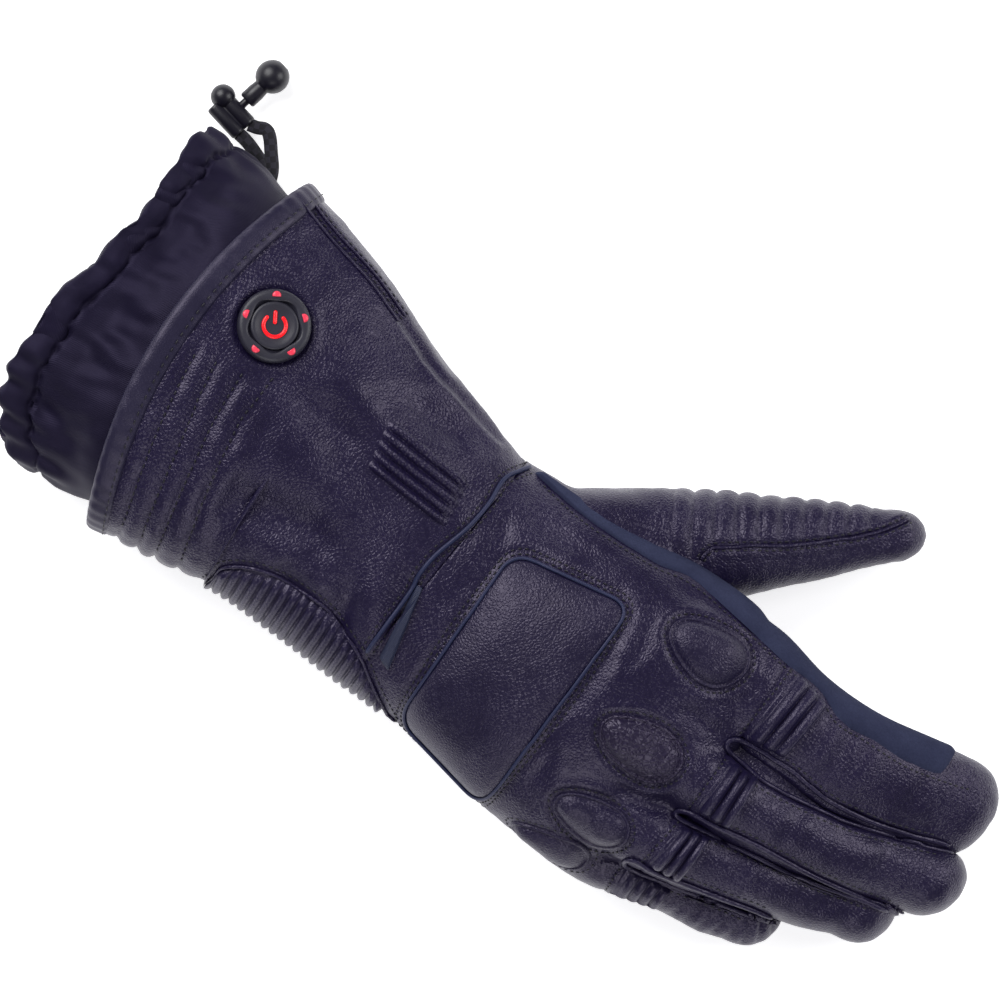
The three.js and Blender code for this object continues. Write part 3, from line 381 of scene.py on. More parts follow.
# Gauntlet
# The cuff of smooth grained goatskin, cut wide to go over a jacket sleeve. Rows of stitching quilt it
# on the little finger's side, and a double seam closes it on the thumb's side.

# Grained goatskin: dyed near black with a navy cast, satin, with pebbles about 1.2 mm across whose
# crowns catch the light.
def grained_leather(name, dark, light, cell, bump_depth, roughness):
    """A leather between two colours, with pebbles of a size and depth in metres."""
    material, tree, shader = new_material(name)
    place = add_node(tree, "TexCoord").outputs["Object"]
    drift = add_node(tree, "TexNoise", Vector=place, Scale=160.0, Detail=2.0)
    stretch = add_node(tree, "VectorMath", {"operation": "MULTIPLY_ADD"},
                       _0=drift.outputs["Color"], _1=(0.0005, 0.0005, 0.0005), _2=place)
    pebbles = add_node(tree, "TexVoronoi", {"feature": "DISTANCE_TO_EDGE"},
                       Vector=stretch, Scale=1 / cell)
    crown = add_node(tree, "MapRange", {"interpolation_type": "SMOOTHSTEP"},
                     Value=pebbles, From_Min=0.0, From_Max=0.32)
    fine = add_node(tree, "TexNoise", Vector=place, Scale=2.4 / cell, Detail=2)
    uneven = add_node(tree, "MapRange", Value=fine, To_Min=0.7, To_Max=1.15)
    height = add_node(tree, "Math", {"operation": "MULTIPLY"}, _0=uneven, _1=crown)
    # The pebble crowns are mixed toward the lighter colour: a painted highlight.
    painted_crown_highlight = add_node(tree, "Math", {"operation": "MULTIPLY"}, _0=height, _1=0.45)
    patchy = add_node(tree, "TexNoise", Vector=place, Scale=35, Detail=4)
    drawn = add_node(tree, "MapRange", Value=patchy, From_Min=0.4, From_Max=0.62,
                     To_Min=0.45, To_Max=0.85)
    dyed = add_node(tree, "Mix", {"data_type": "RGBA"}, _0=patchy, _6=from_hex(dark),
                    _7=from_hex(light))
    tone = add_node(tree, "Mix", {"data_type": "RGBA"}, _0=painted_crown_highlight, _6=dyed.outputs[2],
                    _7=from_hex(light))
    sheen = add_node(tree, "MapRange", Value=patchy, To_Min=roughness - 0.07,
                     To_Max=roughness + 0.09)
    bump = add_node(tree, "Bump", Height=height, Strength=drawn, Distance=bump_depth)
    feed(shader, Base_Color=tone.outputs[2], Roughness=sheen, Normal=bump,
         Specular_IOR_Level=0.5, Specular_Tint=from_hex("e6dcf4"))
    return material


goatskin = grained_leather("grained_goatskin", "0e0a20", "1d1737", 0.0012, 0.00017, 0.35)

PALM_WIDTH, PALM_HEIGHT, WRIST_WIDTH, WRIST_HEIGHT, HAND_LENGTH = 104, 58, 91, 50, 200
GAUNTLET_LENGTH, GAUNTLET_WIDTH, GAUNTLET_HEIGHT, GAUNTLET_SHIFT, GAUNTLET_BOW = 98.5, 128, 58, 16.8, 13
WRIST_SLANT, WRIST_SEAM, EDGE_LIFT = 5, 2.4, 1.75
gauntlet_table = {
    "along": [0, 0.28, 0.5, 0.66, 0.83, 1],
    "flare": [0, 0.19, 0.4, 0.66, 0.84, 1],
    "shift": [0, 0.33, 0.62, 0.82, 0.91, 1],
    "bow": [0, 0, 0.12, 0.4, 0.75, 1],
}
palm_table = {
    "along": [0, 0.15, 0.265, 0.35, 0.42, 0.48],
    "thumb_side": [0.44, 0.447, 0.452, 0.45, 0.447, 0.43],
    "far_side": [0.438, 0.47, 0.515, 0.54, 0.55, 0.545],
    "top": [0.86, 0.94, 1, 1.01, 0.985, 0.92],
    "bottom": [-0.04, -0.05, -0.04, 0.03, 0.12, 0.21],
    "roll": [0, 2, 4, 7, 9, 10],
}


def ease(low, high, value):
    """0 below low, 1 above high, and a smooth step between them."""
    t = np.clip((np.asarray(value, dtype=float) - low) / (high - low), 0, 1)
    return t * t * (3 - 2 * t)


def mix(a, b, t):
    return a + (b - a) * t


def column(table, key, t):
    """One column of a table at position t, on a smooth curve through its rows."""
    along, value = table["along"], table[key]
    at = min(max(t, along[0]), along[-1])
    i = 0
    while i < len(along) - 2 and along[i + 1] < at:
        i += 1

    def slope(j):
        before, after = max(j - 1, 0), min(j + 1, len(along) - 1)
        return (value[after] - value[before]) / (along[after] - along[before])

    span = along[i + 1] - along[i]
    u = (at - along[i]) / span
    return ((2 * u ** 3 - 3 * u * u + 1) * value[i] + (u ** 3 - 2 * u * u + u) * slope(i) * span
            + (3 * u * u - 2 * u ** 3) * value[i + 1] + (u ** 3 - u * u) * slope(i + 1) * span)


def sleeve_section(x):
    """The section that the gauntlet and the palm share."""
    if x < 0:
        along = -x / GAUNTLET_LENGTH
        flare = column(gauntlet_table, "flare", along)
        height = mix(WRIST_HEIGHT, GAUNTLET_HEIGHT, flare)
        return {
            "x": x, "y": GAUNTLET_SHIFT * column(gauntlet_table, "shift", along), "z": height * 0.47,
            "half_width": mix(WRIST_WIDTH, GAUNTLET_WIDTH, flare) / 2, "half_height": height * 0.53,
            "bow": GAUNTLET_BOW * column(gauntlet_table, "bow", along), "slant": WRIST_SLANT * (1 - flare),
            "lift": EDGE_LIFT * float(ease(0.82, 1, along)), "roll": 0, "square": 2.2,
        }
    along = x / HAND_LENGTH
    close = max(0, (along - 0.44) / 0.128)
    around = math.sqrt(max(0, 1 - close ** 2))
    wrist = min(1, along / palm_table["along"][1])
    top = mix(WRIST_HEIGHT, column(palm_table, "top", along) * PALM_HEIGHT, wrist)
    bottom = column(palm_table, "bottom", along) * PALM_HEIGHT
    thumb_side, far_side = column(palm_table, "thumb_side", along), column(palm_table, "far_side", along)
    return {
        "x": x, "y": (thumb_side - far_side) * PALM_WIDTH * wrist / 2,
        "z": mix(WRIST_HEIGHT * 0.47, (top + bottom) / 2, wrist),
        "half_width": mix(WRIST_WIDTH, (thumb_side + far_side) * PALM_WIDTH, wrist) / 2 * around,
        "half_height": mix(WRIST_HEIGHT * 0.53, (top - bottom) / 2, wrist) * around,
        "bow": 0, "slant": mix(WRIST_SLANT, 6, float(ease(0.1, 0.4, along))),
        "lift": 0, "roll": column(palm_table, "roll", along), "square": 2.2,
    }


SOFT_FOOT = 1.2


def ring(section, grow, angles):
    """Points round a section, grow off it, flat where it would sink into what it lies on."""
    power = 2 / section["square"]
    cosine, sine = np.cos(angles), np.sin(angles)
    c = np.sign(cosine) * np.abs(cosine) ** power
    s = np.sign(sine) * np.abs(sine) ** power
    across, up = c * (section["half_width"] + grow), s * (section["half_height"] + grow)
    roll = math.radians(section["roll"])
    x = section["x"] + section["slant"] * c - section["bow"] * (1 - c * c)
    y = section["y"] + across * math.cos(roll) - up * math.sin(roll)
    z = section["z"] + across * math.sin(roll) + up * math.cos(roll)
    low = section["lift"] - grow
    flat = low + SOFT_FOOT * np.exp(np.minimum((z - low) / SOFT_FOOT - 1, 0))
    return np.stack([x, y, np.where(z < low + SOFT_FOOT, flat, z)], axis=-1)


def line_distance(points, line):
    """How far points lie from a line in plan, and the share of the line that they lie beside."""
    line = np.asarray(line, dtype=float)[:, :2]
    best = np.full(len(points), 1e9)
    share = np.zeros(len(points))
    for i in range(len(line) - 1):
        a, d = line[i], line[i + 1] - line[i]
        t = np.clip(((points - a) @ d) / (d @ d), 0, 1)
        far = np.linalg.norm(points - a - t[:, None] * d, axis=1)
        closer = far < best
        best = np.where(closer, far, best)
        share = np.where(closer, (i + t) / (len(line) - 1), share)
    return best, share


def shape_leather(bm, folds):
    """Moves the points of a skin along their normals by what folds gives for places and normals."""
    bm.normal_update()
    place = np.array([v.co for v in bm.verts])
    normal = np.array([v.normal for v in bm.verts])
    moved = place + normal * folds(place, normal)[:, None]
    for v, co in zip(bm.verts, moved):
        v.co = co


def soften(bm, factor, rounds=1, rims=False):
    """Evens out the points of a skin, those on its rims only if asked."""
    for _ in range(rounds):
        bmesh.ops.smooth_vert(bm, verts=[v for v in bm.verts if rims or not v.is_boundary], factor=factor,
                              use_axis_x=True, use_axis_y=True, use_axis_z=True)


def crease(place, line, width, depth, welt=0.0, fade=0.12):
    """A groove along a line in plan, between low welts, that fades at its ends."""
    far, share = line_distance(place[:, :2], line)
    ends = ease(0, fade, share) * ease(0, fade, 1 - share)
    groove = depth * np.exp(-(far / width) ** 2)
    return ends * (welt * np.exp(-((far - 2.2 * width) / (1.3 * width)) ** 2) - groove)


def add_folds(lift, upper, place, folds, welt_share, fade):
    """Adds to a lift the creases of folds, each a line in plan with its width and depth."""
    for line, width, depth in folds:
        lift += upper * crease(place, line, width, depth, depth * welt_share, fade)


def ripple(place, wave, seed, stretch=(1, 1, 1)):
    """Soft undulation of about -1 to 1 from sums of waves, the same on each run."""
    random = np.random.default_rng(seed)
    total = np.zeros(len(place))
    for _ in range(9):
        way = random.normal(size=3)
        way /= np.linalg.norm(way)
        total += np.sin(place @ (way * stretch) * 2 * np.pi / (wave * random.uniform(0.7, 1.5))
                        + random.uniform(0, 6.28))
    return total / 4


BUTTON = (-83.7, 37.4)
quilt_rows = [
    [(-100.6, 20), (-99.9, 16.9), (-98.6, 4), (-97, -8.3), (-93.2, -27), (-89.7, -43.1), (-88.5, -60)],
    [(-93, 22), (-92.9, 18.7), (-91.4, 6), (-89.2, -5), (-86, -25), (-82.6, -43), (-81.5, -60)],
    [(-84, 23), (-83.9, 20), (-83.7, 8), (-82.9, -0.9), (-80, -22), (-76.5, -42.7), (-75.5, -60)],
    [(-74.5, 27), (-74.9, 24.1), (-75.6, 14), (-76.1, 5.3), (-73, -18), (-68.1, -41.7), (-67, -60)],
]
thumb_side_seam = [(-110, 80), (-98, 76.8), (-83.9, 72.1), (-66.3, 67.5), (-50.9, 61.6), (-30, 52), (0, 46)]
cuff_folds = [
    ([(-71.1, 23.7), (-52.9, 22.1), (-32.9, 16.0)], 5.4, 1.3),
    ([(-73.0, -29.1), (-60.4, -13.3), (-39.1, -10.9), (-21.0, -18.2)], 5.8, 1.3),
    ([(-12.4, -43.2), (-15.8, -26.3), (-20.4, -10.2)], 5.1, 1.2),
    ([(-1.7, 2.0), (-1.4, -13.1), (2.3, -33.6)], 4.8, 1.0),
    ([(-47.3, -27.7), (-31.3, -28.7), (-13.2, -36.1)], 4.4, 1.0),
    ([(-40.2, 43.7), (-23.4, 41.3), (-7.4, 40.2)], 4.8, 1.0),
]


def cuff_relief(place, normal):
    x, y, _ = place.T
    upper = ease(-0.2, 0.3, normal[:, 2])
    lift = np.zeros(len(place))
    across = np.clip(y, -43, 30)
    rows = np.stack([np.interp(across, [p[1] for p in reversed(row)], [p[0] for p in reversed(row)])
                     for row in quilt_rows])
    edges = np.concatenate([rows[:1] - 7, rows, rows[-1:] + 7])
    quilted = 1 - ease(14, 21, y + 0.25 * (x + 85))
    for k in range(5):
        share = np.clip((x - edges[k]) / (edges[k + 1] - edges[k]), 0, 1)
        rise = 1.25 if 0 < k < 4 else 0.7
        lift += quilted * rise * np.sqrt(np.abs(np.sin(np.pi * share))) * (share > 0) * (share < 1)
    for row in quilt_rows:
        far, _ = line_distance(place[:, :2], row)
        lift -= quilted * 0.7 * np.exp(-(far / 0.8) ** 2)
    add_folds(lift, upper, place, cuff_folds, 0.7, 0.35)
    lift += upper * crease(place, thumb_side_seam, 1.0, 0.9, 0.5, 0.02)
    add_folds(lift, upper, place, cuff_folds, 0.5, 0.5)
    away = np.hypot(x - BUTTON[0], y - BUTTON[1])
    well = upper * (np.exp(-((away - 13.6) / 1.1) ** 2) * 1.1 - (1 - ease(11.6, 12.9, away)) * 1.2)
    calm = ease(13, 24, away)
    lift = lift * calm + well
    lift += 0.45 * calm * (1 - quilted) * ripple(place, 26, 3) + 0.16 * ripple(place, 8, 5)
    return lift


angles = np.linspace(0, 2 * np.pi, 230, endpoint=False)
cuff = skin([ring(sleeve_section(x), -1.6 * float(ease(WRIST_SEAM - 1, WRIST_SEAM + 2, x)), angles)
             for x in np.linspace(-GAUNTLET_LENGTH + 0.3, WRIST_SEAM + 5, 98)])
shape_leather(cuff, cuff_relief)
soften(cuff, 0.35)
leather_skins = [cuff.copy()]
piece("gauntlet_leather", cuff, goatskin, "gauntlet", wall=0.0024)


# Binding
# A strip of smooth leather folded over the gauntlet's raw edge and topstitched through both sides.

# Smooth binding leather: a shade lighter than the goatskin, with a tighter grain and less gloss.
edge_leather = grained_leather("smooth_binding_leather", "141225", "201d36", 0.0007, 0.00005, 0.42)

binding_profile = [
    (5.9, -0.1), (5.8, 0.6), (5.3, 1.15), (4.2, 1.35), (2.6, 1.5), (1, 1.6), (-0.4, 1.55), (-1.5, 1.1),
    (-2.2, 0.1), (-2.4, -1.4), (-2.2, -2.8), (-1.5, -3.9), (-0.4, -4.3), (1, -4.4), (2.6, -4.3),
    (3.6, -4.1), (3.9, -3.2),
]
angles = np.linspace(0, 2 * np.pi, 300, endpoint=False)
binding_rows = []
for along, out in binding_profile:
    section = sleeve_section(max(along, 0) - GAUNTLET_LENGTH)
    section["x"] = along - GAUNTLET_LENGTH
    binding_rows.append(ring(section, out + 0.12 * np.sin(angles * 52), angles))
piece("binding_leather", skin(binding_rows), edge_leather, "gauntlet_binding", wall=0.0006)


# Gaiter
# A soft sleeve of thin nylon twill sewn inside the gauntlet. Its hem is a channel for the drawcord,
# which pulls it into gathers that run up the cloth as loose folds.

# Nylon twill: matt black with a violet cast, woven in diagonal lines about 0.6 mm apart.
twill, tree, shader = new_material("nylon_twill")
where = add_node(tree, "UVMap")
lines = add_node(tree, "Mapping", Vector=where, Scale=(350, 92, 1),
                 Rotation=(0, 0, math.radians(40)))
weave = add_node(tree, "TexWave", Vector=lines, Scale=0.5, Distortion=0.6, Detail=2.0)
place = add_node(tree, "TexCoord").outputs["Object"]
cloudy = add_node(tree, "TexNoise", Vector=place, Scale=60, Detail=5)
tone = add_node(tree, "Mix", {"data_type": "RGBA"}, _0=cloudy, _6=from_hex("0a0816"),
                _7=from_hex("151126"))
bump = add_node(tree, "Bump", Height=weave.outputs["Fac"], Strength=0.35, Distance=0.00015)
feed(shader, Base_Color=tone.outputs[2], Roughness=0.55, Normal=bump, Specular_IOR_Level=0.3,
     Specular_Tint=from_hex("c8bcf0"))

GAITER_FROM, GAITER_CENTRE, GAITER_HALF, GAITER_HEIGHT, GAITER_HALF_HEIGHT = -60, 18.6, 61.5, 21.5, 23.5
CHANNEL, FREE_LENGTH = 9.0, 37
hem_table = [(-46, -122), (-44, -127), (-40, -134), (-36, -140), (-30, -144), (-24, -146.4), (-15, -147.6),
             (-6, -147.8), (6, -147.4), (19, -144), (30, -141.2), (38, -139.6), (51, -138.8), (59, -139),
             (70, -138), (78, -136), (82, -133)]


def gaiter_point_rows(t, grow, angles):
    """A ring of the gaiter: t is 0 where it is sewn in, 1 at the gauntlet's edge and 2 at the hem."""
    along = mix(GAITER_FROM, -GAUNTLET_LENGTH, min(t, 1))
    section = sleeve_section(along)
    free, tight = max(t - 1, 0), 1.6 * float(ease(0.6, 1, t))
    spread, drop, gather = [float(ease(*ends, free)) for ends in ((0.02, 0.55), (0.02, 0.4), (0.1, 1))]
    section["y"] = mix(section["y"], GAITER_CENTRE, spread)
    section["z"] = mix(section["z"], GAITER_HEIGHT, spread)
    section["half_width"] = mix(section["half_width"] - 4.6 - tight, GAITER_HALF, spread)
    section["half_height"] = mix(section["half_height"] - 4.6 - tight, GAITER_HALF_HEIGHT, spread)
    section["lift"] = mix(section["lift"] + 5, 0, drop)
    points = ring(section, grow, angles)
    hem = np.interp(points[:, 1], [p[0] for p in hem_table], [p[1] for p in hem_table])
    points[:, 0] = mix(points[:, 0], hem, free)
    tucks = np.cos(19 * angles + 1.9 * np.sin(2 * angles + 0.6) + 1.1 * np.sin(5 * angles))
    wide = np.cos(8 * angles + 1.7 * np.sin(3 * angles + 2) + 2.2 * free)
    swell = gather * (0.75 * tucks + 1.2 * wide) + 0.9 * float(ease(0, 0.3, free)) * (1 - gather) * wide
    from_hem = (2 - t) * FREE_LENGTH
    channel = max(0, 1 - from_hem / CHANNEL)
    swell += 1.3 * math.sin(math.pi * min(channel, 0.62) / 1.24) * (channel > 0)
    swell -= 1.2 * math.exp(-((from_hem - CHANNEL) / 0.9) ** 2) * (1 + 0.4 * np.cos(61 * angles))
    out = np.stack([np.zeros_like(angles), np.cos(angles), np.sin(angles)], axis=1)
    points += out * swell[:, None]
    points[:, 0] -= gather * (0.6 * tucks + 0.5 * wide)
    points[:, 2] = np.maximum(points[:, 2], 0.15 - grow * 0.5 + 0.3 * (1 + tucks) * gather)
    return points


angles = np.linspace(0, 2 * np.pi, 420, endpoint=False)
gaiter_rows = [gaiter_point_rows(t, 0, angles) for t in np.concatenate([
    np.linspace(0, 1, 12), np.linspace(1, 1.75, 40)[1:], np.linspace(1.75, 2, 24)[1:]])]
gaiter_rows.append(gaiter_point_rows(2, -0.9, angles) - (0.5, 0, 0))
gaiter_rows += [gaiter_point_rows(t, -2.2, angles) for t in np.linspace(2, 2 - CHANNEL / FREE_LENGTH, 10)]
sleeve = skin(gaiter_rows)


def cloth_relief(place, _):
    free = 1 - ease(-122, -108, place[:, 0])
    return free * (1.2 * ripple(place, 21, 11, (1, 1.5, 1)) + 0.5 * ripple(place, 9, 13, (0.6, 1.6, 1)))


shape_leather(sleeve, cloth_relief)
gaiter = piece("gaiter_twill", sleeve, twill, "gaiter", wall=0.0004)


# Control button
# A puck of satin black silicone rubber with a dished face, set in a round well in the leather. A power sign
# shines through it, and five small red marks on it have a faint painted glow.

# Silicone rubber: satin, slightly grey, with a fine moulded texture.
rubber, tree, shader = new_material("silicone_rubber")
place = add_node(tree, "TexCoord").outputs["Object"]
dust = add_node(tree, "TexNoise", Vector=place, Scale=240, Detail=3)
tone = add_node(tree, "Mix", {"data_type": "RGBA"}, _0=dust, _6=from_hex("1c1b26"),
                _7=from_hex("2b2a38"))
grain = add_node(tree, "TexNoise", Vector=place, Scale=2600, Detail=2)
bump = add_node(tree, "Bump", Height=grain, Strength=0.3, Distance=0.00008)
feed(shader, Base_Color=tone.outputs[2], Roughness=0.46, Normal=bump)

# Translucent red silicone, lit from behind: even glow, deeper at the rims of each mark.
lit_red, tree, shader = new_material("lit_red_silicone")
rim = add_node(tree, "LayerWeight", Blend=0.35)
glow = add_node(tree, "Mix", {"data_type": "RGBA"}, _0=rim.outputs["Facing"],
                _6=from_hex("ff1212"), _7=from_hex("a80a14"))
feed(shader, Base_Color=from_hex("c01020"), Roughness=0.3, Emission_Strength=0.85,
     Emission_Color=glow.outputs[2])

# The same silicone on the small marks, unlit: a milky pink red with a faint painted glow.
mark_red, tree, shader = new_material("red_silicone_marks")
place = add_node(tree, "TexCoord").outputs["Object"]
cloud = add_node(tree, "TexNoise", Vector=place, Scale=900, Detail=2)
tone = add_node(tree, "Mix", {"data_type": "RGBA"}, _0=cloud, _6=from_hex("c8203c"),
                _7=from_hex("f04a62"))
feed(shader, Base_Color=tone.outputs[2], Roughness=0.35, Emission_Color=from_hex("e0304a"),
     Emission_Strength=0.25)


def smooth_point(x, y):
    """Where the plain skin of the glove's upper side lies over x and y."""
    angles = np.linspace(0, np.pi, 90)
    best = None
    for station in np.linspace(x - 14, x + 14, 57):
        points = ring(sleeve_section(station), 0, angles)
        i = int(np.argmin(np.abs(points[:, 1] - y)))
        if best is None or abs(points[i, 0] - x) < abs(best[0] - x):
            best = points[i]
    return Vector((x, y, float(best[2])))


BUTTON_RADIUS = 11.8
along, across = [(smooth_point(BUTTON[0] + x, BUTTON[1] + y)
                  - smooth_point(BUTTON[0] - x, BUTTON[1] - y)).normalized()
                 for x, y in ((BUTTON_RADIUS, 0), (0, BUTTON_RADIUS))]
out = along.cross(across).normalized()
button_frame = Matrix((along, out.cross(along), out)).transposed().to_4x4()
button_frame.translation = smooth_point(*BUTTON)

TOP = 3.5
rim_profile = [
    (0, -0.6), (11.2, -0.6), (11.8, -0.2), (11.85, TOP - 1.5), (11.6, TOP - 0.7), (11.1, TOP - 0.2),
    (10.4, TOP), (8.9, TOP), (8.5, TOP - 0.12), (8.25, TOP - 0.55), (8.2, TOP - 1.3), (0, TOP - 1.3),
]
face_profile = [
    (0, TOP - 1.35), (7.7, TOP - 1.35), (7.75, TOP - 0.65), (7.5, TOP - 0.3), (6.9, TOP - 0.2),
    (6.2, TOP - 0.3), (5.4, TOP - 0.62), (4.2, TOP - 0.78), (2, TOP - 0.82), (0, TOP - 0.82),
]
MARKS, MARK_RING, MARK_TURN, SIGN_TURN = 5, 9.6, math.radians(119), math.radians(119)
rim = turned_part(rim_profile, 120)
for v in rim.verts:
    turn = math.atan2(v.co.y, v.co.x) - MARK_TURN
    away = math.hypot(v.co.x, v.co.y)
    if 8 < away < 9.2 and v.co.z > TOP - 1.4:
        grow = 1 - 0.055 * math.cos(MARKS * turn)
        v.co.x, v.co.y = v.co.x * grow, v.co.y * grow
rim.transform(button_frame)
piece("button_rim_rubber", rim, rubber, "button_rim")
face = turned_part(face_profile, 96)
face.transform(button_frame)
piece("button_face_rubber", face, rubber, "button_face")


def cut_away(bm, place, way, **more):
    """Takes off what lies past a plane."""
    bmesh.ops.bisect_plane(bm, geom=bm.verts[:] + bm.edges[:] + bm.faces[:], plane_co=place, plane_no=way,
                           clear_outer=True, **more)


for i in range(MARKS):
    mark = turned_part([(0, -0.6), (1.35, -0.6), (1.4, 0), (1.2, 0.26), (0.7, 0.38), (0, 0.42)], 28)
    cut_away(mark, (-0.35, 0, 0), (-1, 0, 0))
    fill_holes(mark)
    turn = Matrix.Rotation(MARK_TURN + 2 * math.pi * i / MARKS, 4, "Z")
    bmesh.ops.recalc_face_normals(mark, faces=mark.faces)
    mark.transform(button_frame @ turn @ Matrix.Translation((MARK_RING, 0, TOP)))
    piece(f"button_mark_{i + 1}", mark, mark_red, f"button_marker_{i + 1}")

SIGN_RADIUS, SIGN_STROKE, SIGN_HEIGHT = 3.6, 1.25, TOP - 0.72
opening = math.radians(35)
arc = [(SIGN_RADIUS * math.cos(SIGN_TURN + a), SIGN_RADIUS * math.sin(SIGN_TURN + a), SIGN_HEIGHT)
       for a in np.linspace(opening, 2 * math.pi - opening, 60)]
bar = [(r * math.cos(SIGN_TURN), r * math.sin(SIGN_TURN), SIGN_HEIGHT) for r in np.linspace(0.4, 4.9, 24)]
for name, line, node in [("arc", arc, "button_sign_ring"), ("bar", bar, "button_sign_stroke")]:
    sign = skin(tube_rows(line, SIGN_STROKE / 2, 0.42, 16, taper=0.7))
    sign.transform(button_frame)
    piece("button_sign_" + name, sign, lit_red, node)


# Hand
# The back of the hand and the palm in the same goatskin, with the roots of the fingers and the thumb
# drawn out of it, padded inside so that it keeps its shape.

finger_tables = {
    "index": {"base": 84, "length": 111.5, "width": 36, "height": 34, "root": 112,
              "along": [0, 0.19, 0.37, 0.55, 0.73, 0.86, 1],
              "y": [0.24, 0.235, 0.2, 0.195, 0.222, 0.25, 0.268],
              "z": [0.62, 0.62, 0.59, 0.51, 0.39, 0.265, 0.2],
              "w": [1.02, 1.04, 0.99, 0.98, 0.99, 0.97, 0.93],
              "h": [1.05, 1.02, 0.94, 0.88, 0.82, 0.78, 0.76]},
    "middle": {"base": 84, "length": 116, "width": 28, "height": 34, "root": 111,
               "along": [0, 0.18, 0.35, 0.53, 0.7, 0.87, 1],
               "y": [-0.072, -0.085, -0.09, -0.075, -0.04, 0.015, 0.043],
               "z": [0.63, 0.63, 0.6, 0.5, 0.38, 0.25, 0.2],
               "w": [1.02, 1, 0.93, 0.9, 0.89, 0.88, 0.85],
               "h": [1.05, 1.02, 0.94, 0.88, 0.83, 0.78, 0.75]},
    "ring": {"base": 78, "length": 108.5, "width": 26, "height": 31, "root": 109,
             "along": [0, 0.2, 0.39, 0.57, 0.76, 0.87, 1],
             "y": [-0.3, -0.318, -0.295, -0.255, -0.205, -0.17, -0.148],
             "z": [0.58, 0.585, 0.525, 0.415, 0.315, 0.24, 0.19],
             "w": [0.98, 0.96, 0.94, 0.91, 0.88, 0.87, 0.84],
             "h": [0.96, 0.93, 0.91, 0.89, 0.83, 0.8, 0.77]},
    "little": {"base": 72, "length": 84.5, "width": 23, "height": 27, "root": 103,
               "along": [0, 0.27, 0.51, 0.74, 0.86, 1],
               "y": [-0.44, -0.452, -0.408, -0.383, -0.364, -0.351],
               "z": [0.34, 0.325, 0.28, 0.235, 0.21, 0.175],
               "w": [0.98, 0.98, 0.98, 0.97, 0.94, 0.9],
               "h": [1, 0.97, 0.92, 0.88, 0.87, 0.84]},
}


def limb_section(x, table, along, scale, width, height, around, square):
    """A section of a finger or the thumb, by its table's row at along."""
    return {
        "x": x, "y": column(table, "y", along) * scale[0], "z": column(table, "z", along) * scale[1],
        "half_width": column(table, "w", along) * width / 2 * around,
        "half_height": column(table, "h", along) * height / 2 * around,
        "slant": 0, "bow": 0, "lift": 0, "roll": 0, "square": square,
    }


def finger_section(finger, x):
    along = (x - finger["base"]) / finger["length"]
    tip = finger["base"] + finger["length"]
    round_from = tip - finger["width"] * 0.46
    around = max(0, 1 - min(1, max(0, (x - round_from) / (tip - round_from))) ** 2.4) ** 0.46
    return limb_section(x, finger, along, (PALM_WIDTH, PALM_HEIGHT), finger["width"], finger["height"],
                        around, 2.25)


def outer_tree(bms):
    """One tree of the faces of several skins, to lay other pieces on."""
    points, faces = [], []
    for one in bms:
        one.verts.index_update()
        start = len(points)
        points += [v.co.copy() for v in one.verts]
        faces += [[v.index + start for v in f.verts] for f in one.faces]
    return BVHTree.FromPolygons(points, faces)


def pressed(rows, tree, gap):
    """The rows with each point that lies too near the neighbour's skin moved off it."""
    for row in rows:
        for i, point in enumerate(row):
            near, normal, _, far = tree.find_nearest(Vector(point))
            side = (Vector(point) - near).dot(normal)
            if side < gap and far < 9:
                row[i] = near + normal * gap
    return rows


FINGER_SIDES = 92
finger_angles = np.linspace(0, 2 * np.pi, FINGER_SIDES, endpoint=False)
finger_rows = {}
last_tree = None
for name, finger in finger_tables.items():
    tip = finger["base"] + finger["length"]
    bend = tip - finger["width"] * 0.5
    xs = np.concatenate([np.linspace(finger["base"], bend, int((bend - finger["base"]) / 1.05)),
                         bend + (tip - bend) * np.sin(np.linspace(0, np.pi / 2, 26))[1:]])
    rows = [ring(finger_section(finger, x), 0, finger_angles) for x in xs]
    if last_tree is not None:
        rows = pressed(rows, last_tree, 0.35)
    finger_rows[name] = rows
    plain = skin(rows)
    last_tree = outer_tree([plain])
    plain.free()

THUMB_LENGTH, THUMB_WIDTH, THUMB_HEIGHT, THUMB_RIB = 97, 37, 35, 7.2
thumb_table = {
    "along": [-0.3, 0, 0.2, 0.46, 0.67, 0.83, 1],
    "y": [-0.14, -0.17, -0.155, -0.092, -0.02, 0.035, 0.07],
    "z": [0.72, 0.7, 0.63, 0.5, 0.385, 0.315, 0.27],
    "w": [0.86, 1, 0.99, 0.83, 0.65, 0.5, 0.42],
    "h": [0.92, 1, 0.94, 0.8, 0.66, 0.56, 0.5],
}
thumb_frame = Matrix.Translation((45, 45, 0)) @ Matrix.Rotation(math.radians(29.7), 4, "Z")
thumb_turn = np.array(thumb_frame.to_3x3())


def thumb_ring(s, angles):
    along = s / THUMB_LENGTH
    round_from = THUMB_LENGTH - THUMB_WIDTH * 0.24
    around = math.sqrt(max(0, 1 - min(1, max(0, (s - round_from) / (THUMB_LENGTH - round_from))) ** 2))
    ribbed = 0.0
    if 6 < s < THUMB_LENGTH * 0.86:
        turned = (angles + math.pi) % (2 * math.pi) - math.pi
        above = ease(-0.7, 0.0, turned) * (1 - ease(1.35, 1.8, turned))
        ribbed = above * (1.5 * abs(math.sin(math.pi * s / THUMB_RIB)) ** 0.6 - 0.4)
        ribbed = ribbed * float(ease(6, 14, s) * (1 - ease(0.76, 0.86, along)))
    size = (THUMB_WIDTH, THUMB_HEIGHT)
    section = limb_section(s, thumb_table, along, size, *size, around, 2.3)
    return ring(section, ribbed, angles) @ thumb_turn.T + np.array(thumb_frame.translation)


